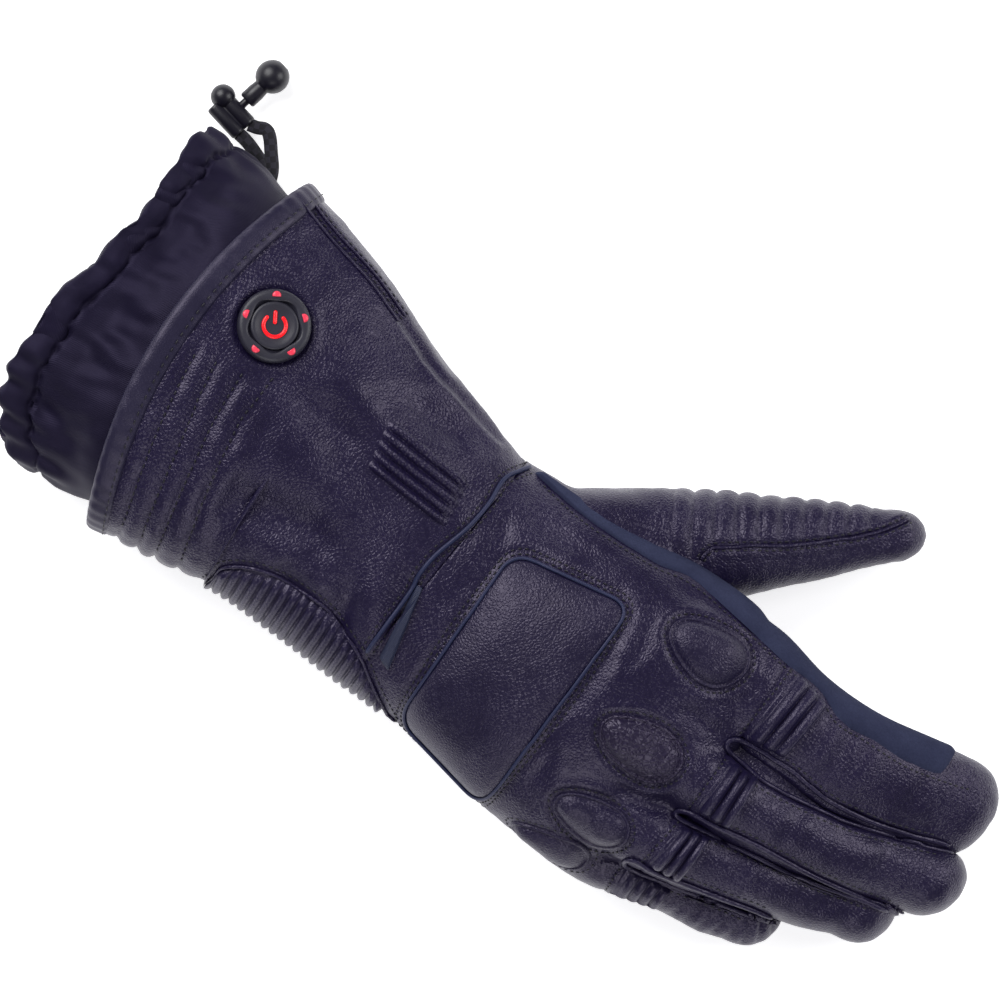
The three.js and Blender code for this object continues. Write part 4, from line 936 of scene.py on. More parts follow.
palm_angles = np.linspace(0, 2 * np.pi, 150, endpoint=False)
palm_ends = 88 + 25.6 * np.sin(np.linspace(0, np.pi / 2, 20))
palm_rows = [ring(sleeve_section(x), 0, palm_angles)
             for x in np.concatenate([np.linspace(-9, 88, 60), palm_ends[1:]])]
shells = [(skin(palm_rows, ends=True), Matrix())]
for name, finger in finger_tables.items():
    stub = skin(finger_rows[name], ends=True)
    cut_away(stub, (finger["root"] + 1.2, 0, 0), (1, 0, 0))
    fill_holes(stub)
    shells.append((stub, Matrix()))
thumb_angles = np.linspace(0, 2 * np.pi, 84, endpoint=False)
shells.append((skin([thumb_ring(s, thumb_angles) for s in np.linspace(-29, 17, 40)], ends=True), Matrix()))


def remeshed(bm, voxel):
    """The outer skin of overlapping closed shells as one even mesh of quads."""
    scratch_mesh = bpy.data.meshes.new("scratch")
    bm.to_mesh(scratch_mesh)
    bm.free()
    scratch = placed("scratch", scratch_mesh)
    change = scratch.modifiers.new("even", "REMESH")
    change.mode = "VOXEL"
    change.voxel_size = voxel
    bpy.context.view_layer.update()
    even = bmesh.new()
    even.from_object(scratch, bpy.context.evaluated_depsgraph_get())
    bpy.data.objects.remove(scratch)
    bpy.data.meshes.remove(scratch_mesh)
    return even


VOXEL = 1.2
hand = remeshed(joined(shells), VOXEL)
soften(hand, 0.5, 9, rims=True)
cut_away(hand, (WRIST_SEAM, 0, 0), (-1, WRIST_SLANT / (WRIST_WIDTH / 2), 0), dist=1e-5)


def rounded(corners, radius):
    """A closed outline with its corners rounded, as points."""
    points = []
    bend, straight = np.linspace(0, 1, 6), (0.12, 0.35, 0.65, 0.88)
    for i in range(len(corners)):
        here, last, following = [np.array(corners[j % len(corners)], dtype=float) for j in (i, i - 1, i + 1)]
        start = here + (last - here) / np.linalg.norm(last - here) * radius
        end = here + (following - here) / np.linalg.norm(following - here) * radius
        points += [tuple(start * (1 - t) ** 2 + 2 * here * t * (1 - t) + end * t * t) for t in bend]
        away = following + (here - following) / np.linalg.norm(here - following) * radius
        points += [tuple(end * (1 - t) + away * t) for t in straight]
    return points


back_panel_outline = rounded([(19.4, 18.6), (60.4, 24.6), (55.4, -55), (17.4, -46)], 7.5)


def calmed(values):
    """Each value on a closed line averaged with its neighbours."""
    return (np.roll(values, 1, axis=0) + 2 * values + np.roll(values, -1, axis=0)) / 4


def closed_curve(points, count, calm=0):
    """Evenly spaced points on a smooth closed curve through a few points."""
    p = [tuple(q) for q in points]
    looped = curve_through(p[-3:] + p + p[:3], count * 3)
    start = int(np.argmin(np.linalg.norm(looped - np.array(p[0]), axis=1)[: count * 2]))
    end = start + 10 + int(np.argmin(np.linalg.norm(looped[start + 10:] - np.array(p[0]), axis=1)))
    line = curve_through(looped[start:end + 1:3].tolist() + [looped[end].tolist()], count + 1)[:-1]
    for _ in range(calm):
        line = calmed(line)
    return line


knuckle_outlines = {
    "index": [(73.7, 23.6), (73.2, 27.5), (75.5, 31.0), (81, 33.6), (89.2, 35.4), (96.8, 35.3), (101.8, 31.9),
              (103.2, 27.6), (102.2, 23.1), (97.9, 17.0), (91.5, 15.3), (83.8, 16.9), (77.6, 20.1)],
    "middle": [(71.7, -14.1), (71.2, -10.6), (73.1, -7.4), (81.9, -3.0), (91.5, -1.2), (100.0, -4.8),
               (102.4, -9.2), (101.9, -13.5), (96.9, -19.7), (88.4, -20.7), (78.2, -19.0)],
    "ring": [(72.7, -42.4), (71.9, -39.4), (73.9, -36.6), (79, -33.6), (85.6, -31.6), (95.6, -31.7),
             (100.1, -36.2), (100.8, -39.4), (99.3, -42.5), (92.1, -46.8), (81.9, -46.4)],
}
pad_curves = {name: closed_curve(outline, 112, 40) for name, outline in knuckle_outlines.items()}
hand_folds = [
    ([(62, 22), (64, 8), (63, -6), (60, -20)], 2.6, 0.8),
    ([(66, 26), (70, 14), (70, 2)], 2.4, 0.6),
    ([(60, -22), (64, -32), (64, -44)], 2.4, 0.6),
    ([(104, 28), (107, 24), (107, 17)], 1.8, 0.6),
    ([(103, -2), (106, -8), (105, -16)], 1.8, 0.6),
    ([(64, 36), (78, 39), (92, 38)], 2.6, 0.6),
    ([(8, 30), (14, 20), (14, 6), (10, -8)], 3.0, 0.6),
    ([(12, 38), (22, 31), (36, 31), (50, 34)], 3.2, 0.7),
    ([(88, 6), (98, 6), (108, 5)], 2.4, 1.0),
    ([(86, -26), (96, -26), (106, -24)], 2.2, 0.9),
    ([(80, -50), (90, -49.5), (99, -47.2)], 2.0, 0.8),
]


def inside(points, outline):
    """Distance in plan from points to an outline, negative outside it."""
    outline = np.asarray(outline, dtype=float)
    closed = np.concatenate([outline, outline[:1]])
    far, _ = line_distance(points, closed)
    within = np.zeros(len(points), dtype=bool)
    x, y = points.T
    for (ax, ay), (bx, by) in zip(closed, closed[1:]):
        cross = (ay > y) != (by > y)
        with np.errstate(divide="ignore", invalid="ignore"):
            within ^= cross & (x < (bx - ax) * (y - ay) / (by - ay) + ax)
    return np.where(within, far, -far)


def hand_relief(place, normal):
    upper = ease(0.0, 0.35, normal[:, 2])
    lift = np.zeros(len(place))
    add_folds(lift, upper, place, hand_folds, 0.45, 0.3)
    edge = inside(place[:, :2], back_panel_outline)
    lift -= upper * 0.9 * np.exp(-((edge + 2.4) / 1.6) ** 2)
    for outline in pad_curves.values():
        edge = inside(place[:, :2], outline[::2].tolist())
        lift += upper * (0.45 * np.exp(-((edge + 2.6) / 1.1) ** 2) - 0.7 * np.exp(-((edge + 0.6) / 0.9) ** 2))
    lift += 0.35 * ripple(place, 24, 21) + 0.13 * ripple(place, 7, 23)
    from_wrist = place[:, 0] - place[:, 1] * WRIST_SLANT / (WRIST_WIDTH / 2)
    return lift * ease(WRIST_SEAM, WRIST_SEAM + 6, from_wrist)


def goatskin_piece(name, bm, relief, node, wall):
    """A skin of the hand with its relief, also kept to lay other pieces on."""
    shape_leather(bm, relief)
    leather_skins.append(bm.copy())
    piece(name, bm, goatskin, node, wall=wall)


goatskin_piece("hand_leather", hand, hand_relief, "palm", 0.0018)


# Fingers and thumb
# Each finger is a tube of the same leather, sewn shut over its rounded tip and set into the hand at
# its root. The thumb's upper side is sewn into soft ribs across it.

finger_seams = {
    "index": [(112.5, 8.1), (120, 8.5), (132.7, 8.4), (146.6, 6.7), (161.3, 8.8), (175, 12), (186, 15.5)],
    "middle": [(112.7, 2.9), (125.8, 0.7), (137.1, 1.6), (153.8, 3.9), (171.8, 9.1), (190.5, 16.5)],
    "ring": [(109.9, -20.9), (122, -19), (135.1, -17.8), (155.5, -16.3), (170, -13.5), (182, -11)],
    "little": [(104.1, -43.4), (112.6, -43.2), (125, -40.8), (137.8, -38.2), (150, -36.6)],
}
finger_folds = {
    "index": [([(140, 8), (142, 20), (141, 34)], 2.2, 0.55), ([(146, 10), (148, 22), (147, 32)], 2.0, 0.4),
              ([(168, 14), (170, 26), (169, 36)], 2.2, 0.4), ([(131, 12), (134, 22), (133, 34)], 2.0, 0.4)],
    "middle": [([(140, -14), (142, -6), (141, 1)], 2.2, 0.55), ([(147, -12), (149, -4), (148, 2)], 2.0, 0.4),
               ([(170, -8), (173, 0), (172, 6)], 2.2, 0.4)],
    "ring": [([(134, -34), (136, -28), (135, -22)], 2.2, 0.5),
             ([(141, -32), (143, -26), (142, -21)], 2.0, 0.4),
             ([(162, -28), (164, -22), (163, -16)], 2.2, 0.4)],
    "little": [([(128, -50), (130, -45), (129, -41)], 1.8, 0.4)],
}


def finger_relief(name):
    root = finger_tables[name]["root"]

    def relief(place, normal):
        upper = ease(0.0, 0.4, normal[:, 2])
        lift = upper * crease(place, finger_seams[name], 0.75, 0.75, 0.55, 0.03)
        add_folds(lift, upper, place, finger_folds[name], 0.6, 0.35)
        lift += 0.3 * ripple(place, 21, 31) + 0.1 * ripple(place, 6, 33)
        x, y, _ = place.T
        if name == "little":
            chevron = x + 0.45 * np.abs(y + 45)
            lift += upper * ease(121, 125, x) * (0.9 * np.abs(np.sin(np.pi * chevron / 4.4)) ** 0.6 - 0.5)
        lift -= 1.5 * (1 - ease(root - 3, root + 1.5, x)) + 2.0 * (1 - ease(root - 8, root - 3, x))
        return lift
    return relief


for name, finger in finger_tables.items():
    tube = skin([row for row in finger_rows[name] if row[0, 0] > finger["root"] - 7])
    goatskin_piece(name + "_finger_leather", tube, finger_relief(name), name + "_finger", 0.0016)

thumb_ends = THUMB_LENGTH + (88 - THUMB_LENGTH) * np.cos(np.linspace(0, np.pi / 2, 20))
thumb_stations = np.sort(np.concatenate([np.linspace(4, 88, 96), thumb_ends[1:]]))
thumb = skin([thumb_ring(s, thumb_angles) for s in thumb_stations])
thumb_seam = [(70.7, 48.8), (71.8, 54.2), (79.7, 60.1), (90.6, 67.2), (100.9, 75.4), (110.7, 84.2),
              (115.3, 89.1), (120.3, 97.0)]


def thumb_relief(place, normal):
    upper = ease(0.0, 0.4, normal[:, 2])
    run = (place - np.array(thumb_frame.translation)) @ thumb_turn[:, 0]
    lift = upper * crease(place, thumb_seam, 0.9, 0.9, 0.6, 0.03)
    lift += 0.3 * ripple(place, 20, 41) + 0.1 * ripple(place, 6, 43)
    return lift - 2.2 * (1 - ease(6, 16, run))


goatskin_piece("thumb_leather", thumb, thumb_relief, "thumb", 0.0016)
top = outer_tree(leather_skins)


# Stretch panels
# Under each knuckle three soft ribs of leather fold up across the finger, so that it can bend, and a
# flat stitched strip holds them to the hand.

# Softer goatskin for the ribs: the same dye, its crowns painted a little lighter as a highlight.
rib_leather = grained_leather("soft_ribbed_goatskin", "0f0b21", "1d1837", 0.0010, 0.0001, 0.34)


def drop(x, y, tree=top):
    """Where a plumb line at x and y meets the leather, and the leather's normal there."""
    near, normal, _, _ = tree.ray_cast(Vector((x, y, 120)), Vector((0, 0, -1)))
    if near is None:
        near, normal, _, _ = tree.find_nearest(Vector((x, y, 25)))
    return near, normal


def laid(plan, lift=0.0, calm=0, tree=top):
    """Points of a plan laid on the leather and lifted along its normal, with their normals."""
    places, normals = [], []
    for x, y in plan:
        near, normal = drop(x, y, tree)
        places.append(near)
        normals.append(normal)
    places, normals = np.array(places), np.array(normals)
    for _ in range(calm):
        places[1:-1, 2] = (places[:-2, 2] + 2 * places[1:-1, 2] + places[2:, 2]) / 4
        normals[1:-1] = (normals[:-2] + 2 * normals[1:-1] + normals[2:]) / 4
    normals = unit(normals)
    return places + normals * lift, normals


def quilted_patch(corners, counts, height, calm=60):
    """A sewn-on patch over four corners in plan, as high off the leather as height gives for shares of it."""
    a, b, c, d = [np.array(p, dtype=float) for p in corners]
    us, vs = np.linspace(0, 1, counts[0]), np.linspace(0, 1, counts[1])
    laid_rows = [laid([(a * (1 - u) + b * u) * (1 - v) + (d * (1 - u) + c * u) * v for u in us]) for v in vs]
    places = np.array([row[0] for row in laid_rows])
    normals = np.array([row[1] for row in laid_rows])
    for _ in range(calm):
        for values in (places[:, :, 2:], normals):
            values[1:-1, 1:-1] = (2 * values[1:-1, 1:-1] + values[:-2, 1:-1] + values[2:, 1:-1]
                                  + values[1:-1, :-2] + values[1:-1, 2:]) / 6
    heights = np.array([[height(u, v) for u in us] for v in vs])
    return skin(list(places + unit(normals) * heights[:, :, None]), closed=False)


def sunk_edge(share, length, fall):
    """0 at both ends of a length, 1 from fall inside them."""
    near = min(share, 1 - share) * length
    return math.sin(math.pi / 2 * min(1, near / fall))


stretch_panels = {
    "index": [(112.6, 9.0), (115.4, 37.0), (130.2, 32.4), (127.6, 10.2)],
    "middle": [(111.8, -19.3), (113.2, 1.0), (124.6, 1.4), (125.2, -18.4)],
    "ring": [(108.6, -42.4), (111.6, -24.6), (122.2, -23.4), (121.2, -41.4)],
    "little": [(104.6, -57.2), (104.2, -45.2), (121.4, -44.2), (120.4, -52.8)],
}
RIB_STRIP = 0.14
for name, corners in stretch_panels.items():
    ribs, tall = (4, 1.3) if name == "little" else (3, 2.2)
    wide = math.dist(corners[0], corners[1])

    def rib_height(u, v):
        edge = sunk_edge(u, wide, 2.4) * sunk_edge(v, 14, 0.9)
        past = v - RIB_STRIP
        rib = abs(math.sin(math.pi * ribs * past / (1 - RIB_STRIP))) ** 0.7 if past > 0 else 0.0
        waist = 0.55 + 0.45 * math.sin(math.pi * u)
        return (0.5 + tall * rib * waist) * edge - 0.5 * (1 - edge)

    patch = quilted_patch(corners, (44, 76), rib_height)
    piece("stretch_ribs_" + name, patch, rib_leather, "stretch_panel_" + name)


# Back panel and knuckle pads
# Foam under leather: a plain panel on the back of the hand with a corded navy edge, and a teardrop pad
# over each knuckle, sewn down through a welt.

# Smooth panel leather: the same hide pressed flat over foam; the middle pad's is left with larger pebbles.
pad_leather = grained_leather("pressed_goatskin", "0e0a1f", "1c1735", 0.0011, 0.00016, 0.38)
pebbled_leather = grained_leather("pebbled_goatskin", "0e0a1f", "2a233c", 0.0018, 0.00045, 0.36)


FLANK = 4


def padded_patch(outline, depths, heights, steps):
    """A closed dome over an outline in plan: how far in from the edge, and how high off the leather."""
    middle = outline.mean(axis=0)
    reach = np.linalg.norm(outline - middle, axis=1)
    rows = []
    for depth in steps:
        shallow = min(depth, FLANK)
        share = (1 - shallow / reach) * max(0, 1 - (depth - shallow) / (steps[-2] * 1.08 - FLANK))
        places, normals = laid(middle + (outline - middle) * share[:, None])
        for _ in range(24):
            normals = calmed(normals)
            if depth:
                places[:, 2] = calmed(places[:, 2])
        normals = unit(normals + np.array([0, 0, 0.4]))
        rows.append(places + normals * np.interp(reach * (1 - share), depths, heights)[:, None])
    return skin(rows)


panel_curve = closed_curve(back_panel_outline, 320)
panel = padded_patch(panel_curve, [0, 0.3, 1, 2, 4, 8, 16], [-0.8, 0.4, 0.9, 1.25, 1.7, 2.1, 2.35],
                     [0, 0.15, 0.4, 0.8, 1.3, 2, 3, 4, 5.2, 6.6, 8.2, 10, 12, 14, 16, 18, 20.5, 23, 26, 29,
                      33, 99])
soften(panel, 0.4, 3)
piece("back_panel_pad", panel, pad_leather, "back_panel")

pad_depths = [0, 0.25, 0.75, 1.2, 1.6, 2.1, 3, 4.3, 6, 9]
pad_heights = [-0.9, 0.35, 0.95, 0.8, 0.45, 0.95, 1.75, 2.35, 2.85, 3.1]
pad_steps = [0, 0.12, 0.25, 0.45, 0.75, 1.0, 1.2, 1.4, 1.6, 1.85, 2.1, 2.5, 3, 3.6, 4.3, 5.1, 6, 7.2, 8.6, 10,
             12, 99]
for name, outline in pad_curves.items():
    pad = padded_patch(outline, pad_depths, pad_heights, pad_steps)
    piece("knuckle_pad_" + name + "_leather", pad, pebbled_leather if name == "middle" else pad_leather,
          "knuckle_pad_" + name)

# The little finger's pad lies on the hand's edge, so its outline is drawn facing outwards.
LITTLE_MIDDLE, LITTLE_TILT, LITTLE_REACH = Vector((79.6, -54.4, 34.5)), math.radians(52), 30
out_way = Vector((0, -math.sin(LITTLE_TILT), math.cos(LITTLE_TILT)))
down_way = Vector((0, -math.cos(LITTLE_TILT), -math.sin(LITTLE_TILT)))
little_rows, little_rim = [], []
for depth in pad_steps:
    row = []
    for turn in np.linspace(0, 2 * math.pi, 112, endpoint=False):
        reach = 1 / math.hypot(math.cos(turn) / 14.2, math.sin(turn) / (8.6 + 1.6 * math.cos(turn)))
        inward = min(depth, reach)
        left = reach - inward
        away = Vector((math.cos(turn), 0, 0)) * left + down_way * math.sin(turn) * left
        near, _, _, _ = top.ray_cast(LITTLE_MIDDLE + away + out_way * LITTLE_REACH, -out_way)
        near = near if near is not None else LITTLE_MIDDLE + away
        row.append(near + out_way * float(np.interp(inward, pad_depths, pad_heights)) * 0.9)
        if depth == 0:
            far = away * ((reach + 1.4) / reach)
            hit, normal, _, _ = top.ray_cast(LITTLE_MIDDLE + far + out_way * LITTLE_REACH, -out_way)
            if hit is not None:
                little_rim.append((hit, normal))
    little_rows.append(row)
pad = skin(little_rows, out=out_way)
soften(pad, 0.4)
piece("knuckle_pad_little_leather", pad, pad_leather, "knuckle_pad_little")


# Wrist rolls
# Over the wrist the leather is gathered on elastic into five padded rolls, which are sewn down
# between each pair.

roll_corners = [(-37.6, 33.6), (-3.2, 29.8), (-2.6, 12.8), (-35.0, 15.6)]
ROLLS, ROLL_LENGTH, ROLLS_WIDTH, PUCKER_PITCH = 5, 34, 19, 1.7


def roll_height(u, v):
    ends = sunk_edge(u, ROLL_LENGTH, 6.5)
    edge = sunk_edge(v, ROLLS_WIDTH, 1.4)
    share = v * ROLLS
    roll = abs(math.sin(math.pi * share)) ** 0.75
    pucker = 0.12 * math.sin(u * ROLL_LENGTH * 2 * math.pi / PUCKER_PITCH + (math.floor(share) % 2) * math.pi)
    return (0.2 + 2.1 * roll + pucker) * ends * edge - 0.45 * (1 - ends * edge)


rolls = quilted_patch(roll_corners, (120, 80), roll_height)
piece("wrist_rolls_leather", rolls, goatskin, "wrist_shirring")


# Ribbed side panel
# An accordion of soft leather on the little finger's side of the wrist, some twenty ribs on elastic,
# set in along a curved seam.

side_top = [(-58, -43.2), (-56.6, -40), (-55.9, -36.1), (-49.9, -31.8), (-40.5, -28.8), (-30.3, -28.3),
            (-20.4, -28.8), (-11.0, -32.4), (-3.7, -35.5), (5.6, -41.8), (12, -45.6), (17.3, -48.6)]
SIDE_PITCH = 3.25
fan = np.linspace(math.radians(92), math.radians(226), 240)
share = np.linspace(0, 1, 40)
side_rows = []
for x in np.linspace(-56.4, 16.6, 230):
    section = sleeve_section(x)
    around = ring(section, 0, fan)
    line_y = np.interp(around[:, 0], [p[0] for p in side_top], [p[1] for p in side_top])
    first = int(np.argmax(around[:, 1] <= line_y))
    span = np.linspace(fan[first], fan[-1], 40)
    long = (fan[-1] - fan[first]) * 26
    edge = np.sin(np.pi / 2 * np.clip(np.minimum(share, 1 - share) * long / 2.2, 0, 1))
    edge *= math.sin(math.pi / 2 * min(1, min(x + 56.6, 16.8 - x) / 1.6))
    wander = 0.5 * np.sin(3.1 * share + x * 0.05)
    rib = np.abs(np.sin(np.pi * (ring(section, 0, span)[:, 0] + wander + 56) / SIDE_PITCH)) ** 0.65
    swell = (0.75 + 1.55 * rib) * edge - 0.7 * (1 - edge)
    side_rows.append([ring(section, grow, np.array([a]))[0] for grow, a in zip(swell, span)])
side_skin = skin(side_rows, closed=False, out=(0, -1, 0.3))
piece("ribbed_side_leather", side_skin, rib_leather, "ribbed_side_panel")


# Piping, welts and the woven tag
# Thin navy cord covered in leather marks the wrist seam and the back panel's edge. Rolled seams run
# along the fingers from small loops in the crotches. A plain woven loop is caught in the wrist seam.

# Piping leather: dyed navy blue, smooth, with a low sheen.
navy_piping = grained_leather("navy_piping_leather", "151c36", "1f2848", 0.0006, 0.00004, 0.5)


def beside(plan, distance):
    """A line in plan moved sideways."""
    plan = np.asarray(plan, dtype=float)
    along = unit(np.gradient(plan, axis=0))
    return plan + distance * np.stack([-along[:, 1], along[:, 0]], axis=1)


def welt(plan, radius, sink, calm=3, high=1.0, taper=2.0):
    """A round bead laid on the leather along a line in plan."""
    places, normals = laid(plan, radius * high * (1 - sink), calm)
    return tube_rows(places, radius, radius * high, 10, up=normals, taper=taper)


wrist_line = curve_through([(9.2, 44.4), (4.4, 36.9), (4.3, 27.3), (2.7, 16.6), (-0.7, 5.6), (-2.0, -3.2),
                            (-1.3, -9.7), (-2.2, -22), (-2.6, -33.9)], 110)
piece("wrist_piping_cord", skin(welt(wrist_line, 0.75, 0.25)), navy_piping, "wrist_piping")

panel_edge = np.concatenate([panel_curve, panel_curve[:2]])
piece("back_panel_piping", skin(welt(panel_edge, 0.6, 0.1, taper=0)), navy_piping)

crotch_lines = {
    "index_middle": [(188, 16.2), (175, 12), (161.3, 8.6), (146.6, 7.2), (132.7, 8.6), (120, 8.8), (113, 8.2),
                     (109.8, 6.4), (109.6, 3.8), (112.6, 2.2), (119, 1.4), (125.8, 0.3), (137.1, 1.2),
                     (153.8, 3.5), (171.8, 8.3), (190.5, 15.0)],
    "middle_ring": [(188, -9.8), (175, -12.6), (155.5, -15.6), (135.1, -17.2), (120, -19.2), (112, -19.9),
                    (108.4, -21.4), (108.4, -23.4), (112, -24), (122, -22.6), (135.1, -20.4), (155.5, -18.2),
                    (172, -14.6), (183, -12.6)],
    "ring_little": [(153, -34.2), (146, -35.2), (137.8, -37.0), (125, -39.6), (112.6, -42.0), (106, -42.4),
                    (103, -43.8), (104, -45.4), (110, -45.2), (122, -42.8), (136, -39.8), (148, -38.0)],
}
crotch_plans = {name: curve_through(line, 240) for name, line in crotch_lines.items()}
for name, plan in crotch_plans.items():
    rows = welt(plan, 0.95, 0.35, calm=10, high=0.9, taper=5)
    piece("rolled_seam_" + name, skin(rows), rib_leather)

# Fourchettes: the narrow strips between the fingers, sunk below the seams.
for name, plan in crotch_plans.items():
    turn_back = int(np.argmin(plan[:, 0]))
    sides = [laid(curve_through(half[::6].tolist(), 90), -0.3, 12)[0]
             for half in (plan[turn_back::-1], plan[turn_back:])]
    rows = []
    for share in np.linspace(0, 1, 12):
        row = sides[0] * (1 - share) + sides[1] * share
        row[:, 2] -= 1.6 * math.sin(math.pi * share) + 0.3
        rows.append(row)
    piece("fourchette_" + name, skin(rows, closed=False), goatskin)

# Seam beads: the cuff's double seam, the thumb's and the ribbed side's.
cuff_seam = curve_through(thumb_side_seam[1:5], 120)
beads = [(beside(cuff_seam, 1.3), 0.42, 0.2, 4), (beside(cuff_seam, -1.5), 0.42, 0.2, 4),
         (curve_through(thumb_seam, 90), 0.7, 0.35, 4), (curve_through(side_top, 140), 0.6, 0.3)]
piece("seam_beads", joined([(skin(welt(*bead)), Matrix()) for bead in beads]), goatskin)

# Woven nylon ribbon: navy, with ribs across it about 0.5 mm apart.
ribbon, tree, shader = new_material("woven_nylon_ribbon")
where = add_node(tree, "UVMap")
ribs_across = add_node(tree, "Mapping", Vector=where, Scale=(9, 52, 1))
weave = add_node(tree, "TexWave", {"bands_direction": "Y"}, Vector=ribs_across, Scale=0.32,
                 Distortion=0.3).outputs["Fac"]
tone = add_node(tree, "Mix", {"data_type": "RGBA"}, _0=weave, _6=from_hex("14182e"),
                _7=from_hex("22294a"))
bump = add_node(tree, "Bump", Height=weave, Strength=0.5, Distance=0.00015)
feed(shader, Base_Color=tone.outputs[2], Roughness=0.6, Normal=bump)


def tag_height(u, v):
    fold = math.sin(math.pi / 2 * min(1, (1 - u) / 0.22)) if u > 0.78 else 1.0
    return 0.25 + 1.35 * min(1, u * 3) * fold * min(1, 12 * min(v, 1 - v) + 0.5)


tag = quilted_patch([(1.7, -32.6), (6.5, -34.4), (1.3, -6.4), (-0.9, -6.8)], (26, 60), tag_height, 20)
piece("tag_ribbon", tag, ribbon, "loop_tag", wall=0.0005)


# Suede side panel
# Blue-grey suede down the index finger's side, for wiping a visor. It runs from the wrist to the
# last joint, and its upper edge is sewn down on the leather.

# Suede: matt, with a short nap that turns lighter and darker in patches.
suede, tree, shader = new_material("brushed_suede")
place = add_node(tree, "TexCoord").outputs["Object"]
nap = add_node(tree, "TexNoise", Vector=place, Scale=1500, Detail=5, Roughness=0.7)
brushed = add_node(tree, "TexNoise", Vector=place, Scale=110, Detail=3)
tone = add_node(tree, "Mix", {"data_type": "RGBA"}, _0=brushed, _6=from_hex("262940"),
                _7=from_hex("383c55"))
depth = add_node(tree, "MapRange", Value=nap, To_Min=0.55, To_Max=1.35)
toned = add_node(tree, "VectorMath", {"operation": "SCALE"}, _0=tone.outputs[2], Scale=depth)
bump = add_node(tree, "Bump", Height=nap, Strength=0.7, Distance=0.0002)
feed(shader, Base_Color=toned, Roughness=0.95, Normal=bump, Specular_IOR_Level=0.08)

SUEDE_FROM, SUEDE_LENGTH, SUEDE_ROUNDS = 11.5, 162, 34
suede_line = [(12.1, 43.7), (30.8, 40.4), (47.2, 40.0), (60.6, 40.5), (68.8, 42.1), (78.2, 42.0),
              (86.0, 40.8), (98.2, 38.7), (110.5, 36.5), (120.7, 35.3), (127.9, 33.8), (136.0, 30.2),
              (145.6, 30.5), (161.5, 30.7), (176.9, 33.9), (184, 36)]
plain_skins = [skin(palm_rows), skin(finger_rows["index"])]
side_tree = outer_tree(plain_skins)
for plain in plain_skins:
    plain.free()
suede_curve = curve_through(suede_line, 200)
suede_rows = []
for x in np.linspace(SUEDE_FROM, SUEDE_FROM + SUEDE_LENGTH, 150):
    inner = float(np.interp(x, suede_curve[:, 0], suede_curve[:, 1]))
    edge_top, _ = drop(x, inner, side_tree)
    pivot = Vector((x, inner - 13, edge_top.z - 15))
    start = math.atan2(edge_top.z - pivot.z, inner - pivot.y)
    low = math.radians(float(np.interp(x, [60, 110], [-4, -38])))
    low = start + (low - start) * float(np.interp(x, [SUEDE_FROM, 20, 45, 64], [0.1, 0.24, 0.55, 1]))
    row = []
    for i, angle in enumerate(np.linspace(start, low, SUEDE_ROUNDS)):
        way = Vector((0, math.cos(angle), math.sin(angle)))
        near, normal, _, _ = side_tree.ray_cast(pivot + way * 70, -way)
        if near is None:
            near, normal = edge_top, Vector((0, 0, 1))
        edge = (sunk_edge(i / (SUEDE_ROUNDS - 1), 34, 1.6)
                * sunk_edge((x - SUEDE_FROM) / SUEDE_LENGTH, SUEDE_LENGTH, 1.6))
        row.append(near + normal * (1.25 * edge - 0.3 * (1 - edge)))
    suede_rows.append(row)
suede_skin = skin(suede_rows, closed=False, out=(0, 0.8, 0.6))
soften(suede_skin, 0.5, 4)
piece("suede_side_panel", suede_skin, suede, "index_side_panel")


# Stitching
# Bonded black polyester thread, about seven stitches to 20 mm. Each stitch is drawn down into the
# leather that it holds.

# Bonded thread: smooth, near black, a little glossier than the leather.
thread, tree, shader = new_material("bonded_thread")
place = add_node(tree, "TexCoord").outputs["Object"]
twist = add_node(tree, "TexNoise", Vector=place, Scale=1800, Detail=1)
tone = add_node(tree, "Mix", {"data_type": "RGBA"}, _0=twist, _6=from_hex("08070e"),
                _7=from_hex("171524"))
feed(shader, Base_Color=tone.outputs[2], Roughness=0.5)

STITCH_PITCH, STITCH_LENGTH, THREAD_WIDTH = 2.6, 1.75, 0.62
one_stitch = bmesh.new()
bmesh.ops.create_uvsphere(one_stitch, u_segments=6, v_segments=5, radius=1)
one_stitch.verts.index_update()
stitch_corners = np.array([vertex.co for vertex in one_stitch.verts])
corner_faces = [[vertex.index for vertex in face.verts] for face in one_stitch.faces]
one_stitch.free()
stitch_points, stitch_faces = [], []


def sew(places, normals, pitch, length, width=THREAD_WIDTH):
    """Stitches along a line, each a flat bead sunk a little into the leather."""
    places, normals = np.asarray(places), np.asarray(normals)
    run = run_along(places)
    for at in np.arange(pitch / 2, run[-1], pitch):
        i = min(max(int(np.searchsorted(run, at)), 1), len(run) - 1)
        share = (at - run[i - 1]) / max(run[i] - run[i - 1], 1e-6)
        here = places[i - 1] * (1 - share) + places[i] * share
        along = Vector(places[i] - places[i - 1]).normalized()
        across = Vector(normals[i]).cross(along).normalized()
        up = along.cross(across)
        turn = np.array([along * length / 2, across * width / 2, up * width / 2.4])
        first = len(stitch_points)
        stitch_points.extend(stitch_corners @ turn + here)
        stitch_faces.extend([[first + corner for corner in face] for face in corner_faces])


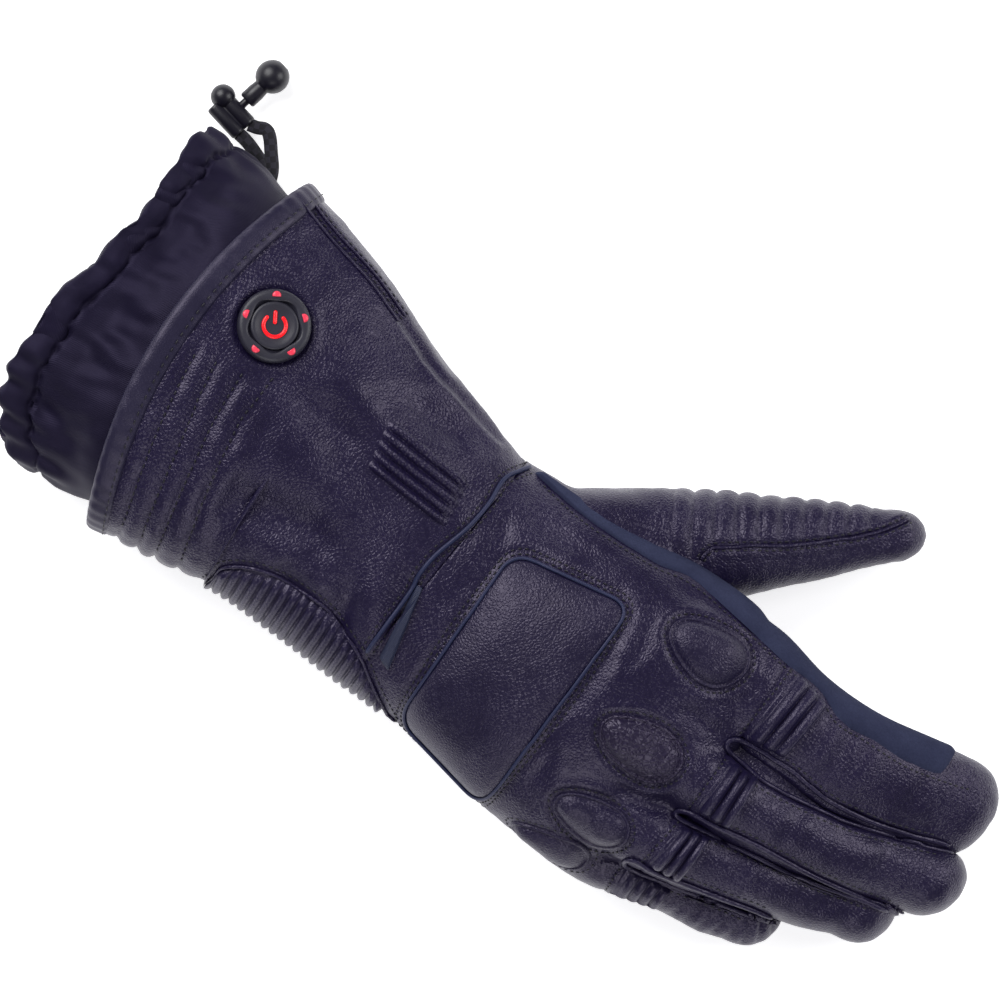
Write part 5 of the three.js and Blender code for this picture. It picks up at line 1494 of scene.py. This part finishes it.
def sew_on(plans, lift, pitch, length, calm=2):
    """Stitches along lines in plan, laid on the leather."""
    for plan in plans:
        sew(*laid(plan, lift, calm), pitch, length)


def outside(curve, distance, overlap):
    """A closed line moved outwards from its middle, with its first points again at its end."""
    middle = curve.mean(axis=0)
    away = np.concatenate([curve, curve[:overlap]]) - middle
    return middle + away * (1 + distance / np.linalg.norm(away, axis=1))[:, None]


upper_angles = np.linspace(math.radians(7), math.radians(173), 260)
section = sleeve_section(-GAUNTLET_LENGTH)
section["x"] = 4.75 - GAUNTLET_LENGTH
hem_line = ring(section, 1.38, upper_angles)
sew(hem_line, ring(section, 3, upper_angles) - hem_line, 2.9, 1.9, 0.5)
sew_on([curve_through(row[1:-1], 90) for row in quilt_rows], 0.12, STITCH_PITCH, STITCH_LENGTH)
sew_on([outside(panel_curve, shift, 2) for shift in (1.6, 3.4)], 0.1, 2.3, 1.5)
sew_on([outside(curve, 1.25, 1) for curve in pad_curves.values()], 0.08, 2.2, 1.4)
sew([place for place, _ in little_rim], [normal for _, normal in little_rim], 2.2, 1.4)
sew_on([beside(wrist_line, shift) for shift in (-2.0, 1.9)], 0.1, 2.3, 1.5)
sew_on([beside(suede_curve, -1.3)[4:]], 0.08, 2.2, 1.4)
for plan in crotch_plans.values():
    line = beside(plan, -1.9)
    sew_on([line[8:100], line[140:232]], 0.05, 2.4, 1.5, calm=6)
sew_on([beside(curve_through(thumb_side_seam[1:5], 110), shift) for shift in (0.0, 2.4)], 0.06, 2.4, 1.5)
sew_on([curve_through(corners[:2], 30) - (1.3, 0) for corners in stretch_panels.values()], 0.08, 2.1, 1.35)
sew_on([beside(curve_through(thumb_seam, 80), shift) for shift in (-1.4, 1.4)], 0.06, 2.4, 1.5)
sew_on([beside(curve_through(side_top, 140), 1.9)], 0.08, 2.3, 1.5)
sewn = bpy.data.meshes.new("sewn")
sewn.from_pydata(stitch_points, [], stitch_faces)
stitches = bmesh.new()
stitches.from_mesh(sewn)
bpy.data.meshes.remove(sewn)
piece("stitching", stitches, thread)
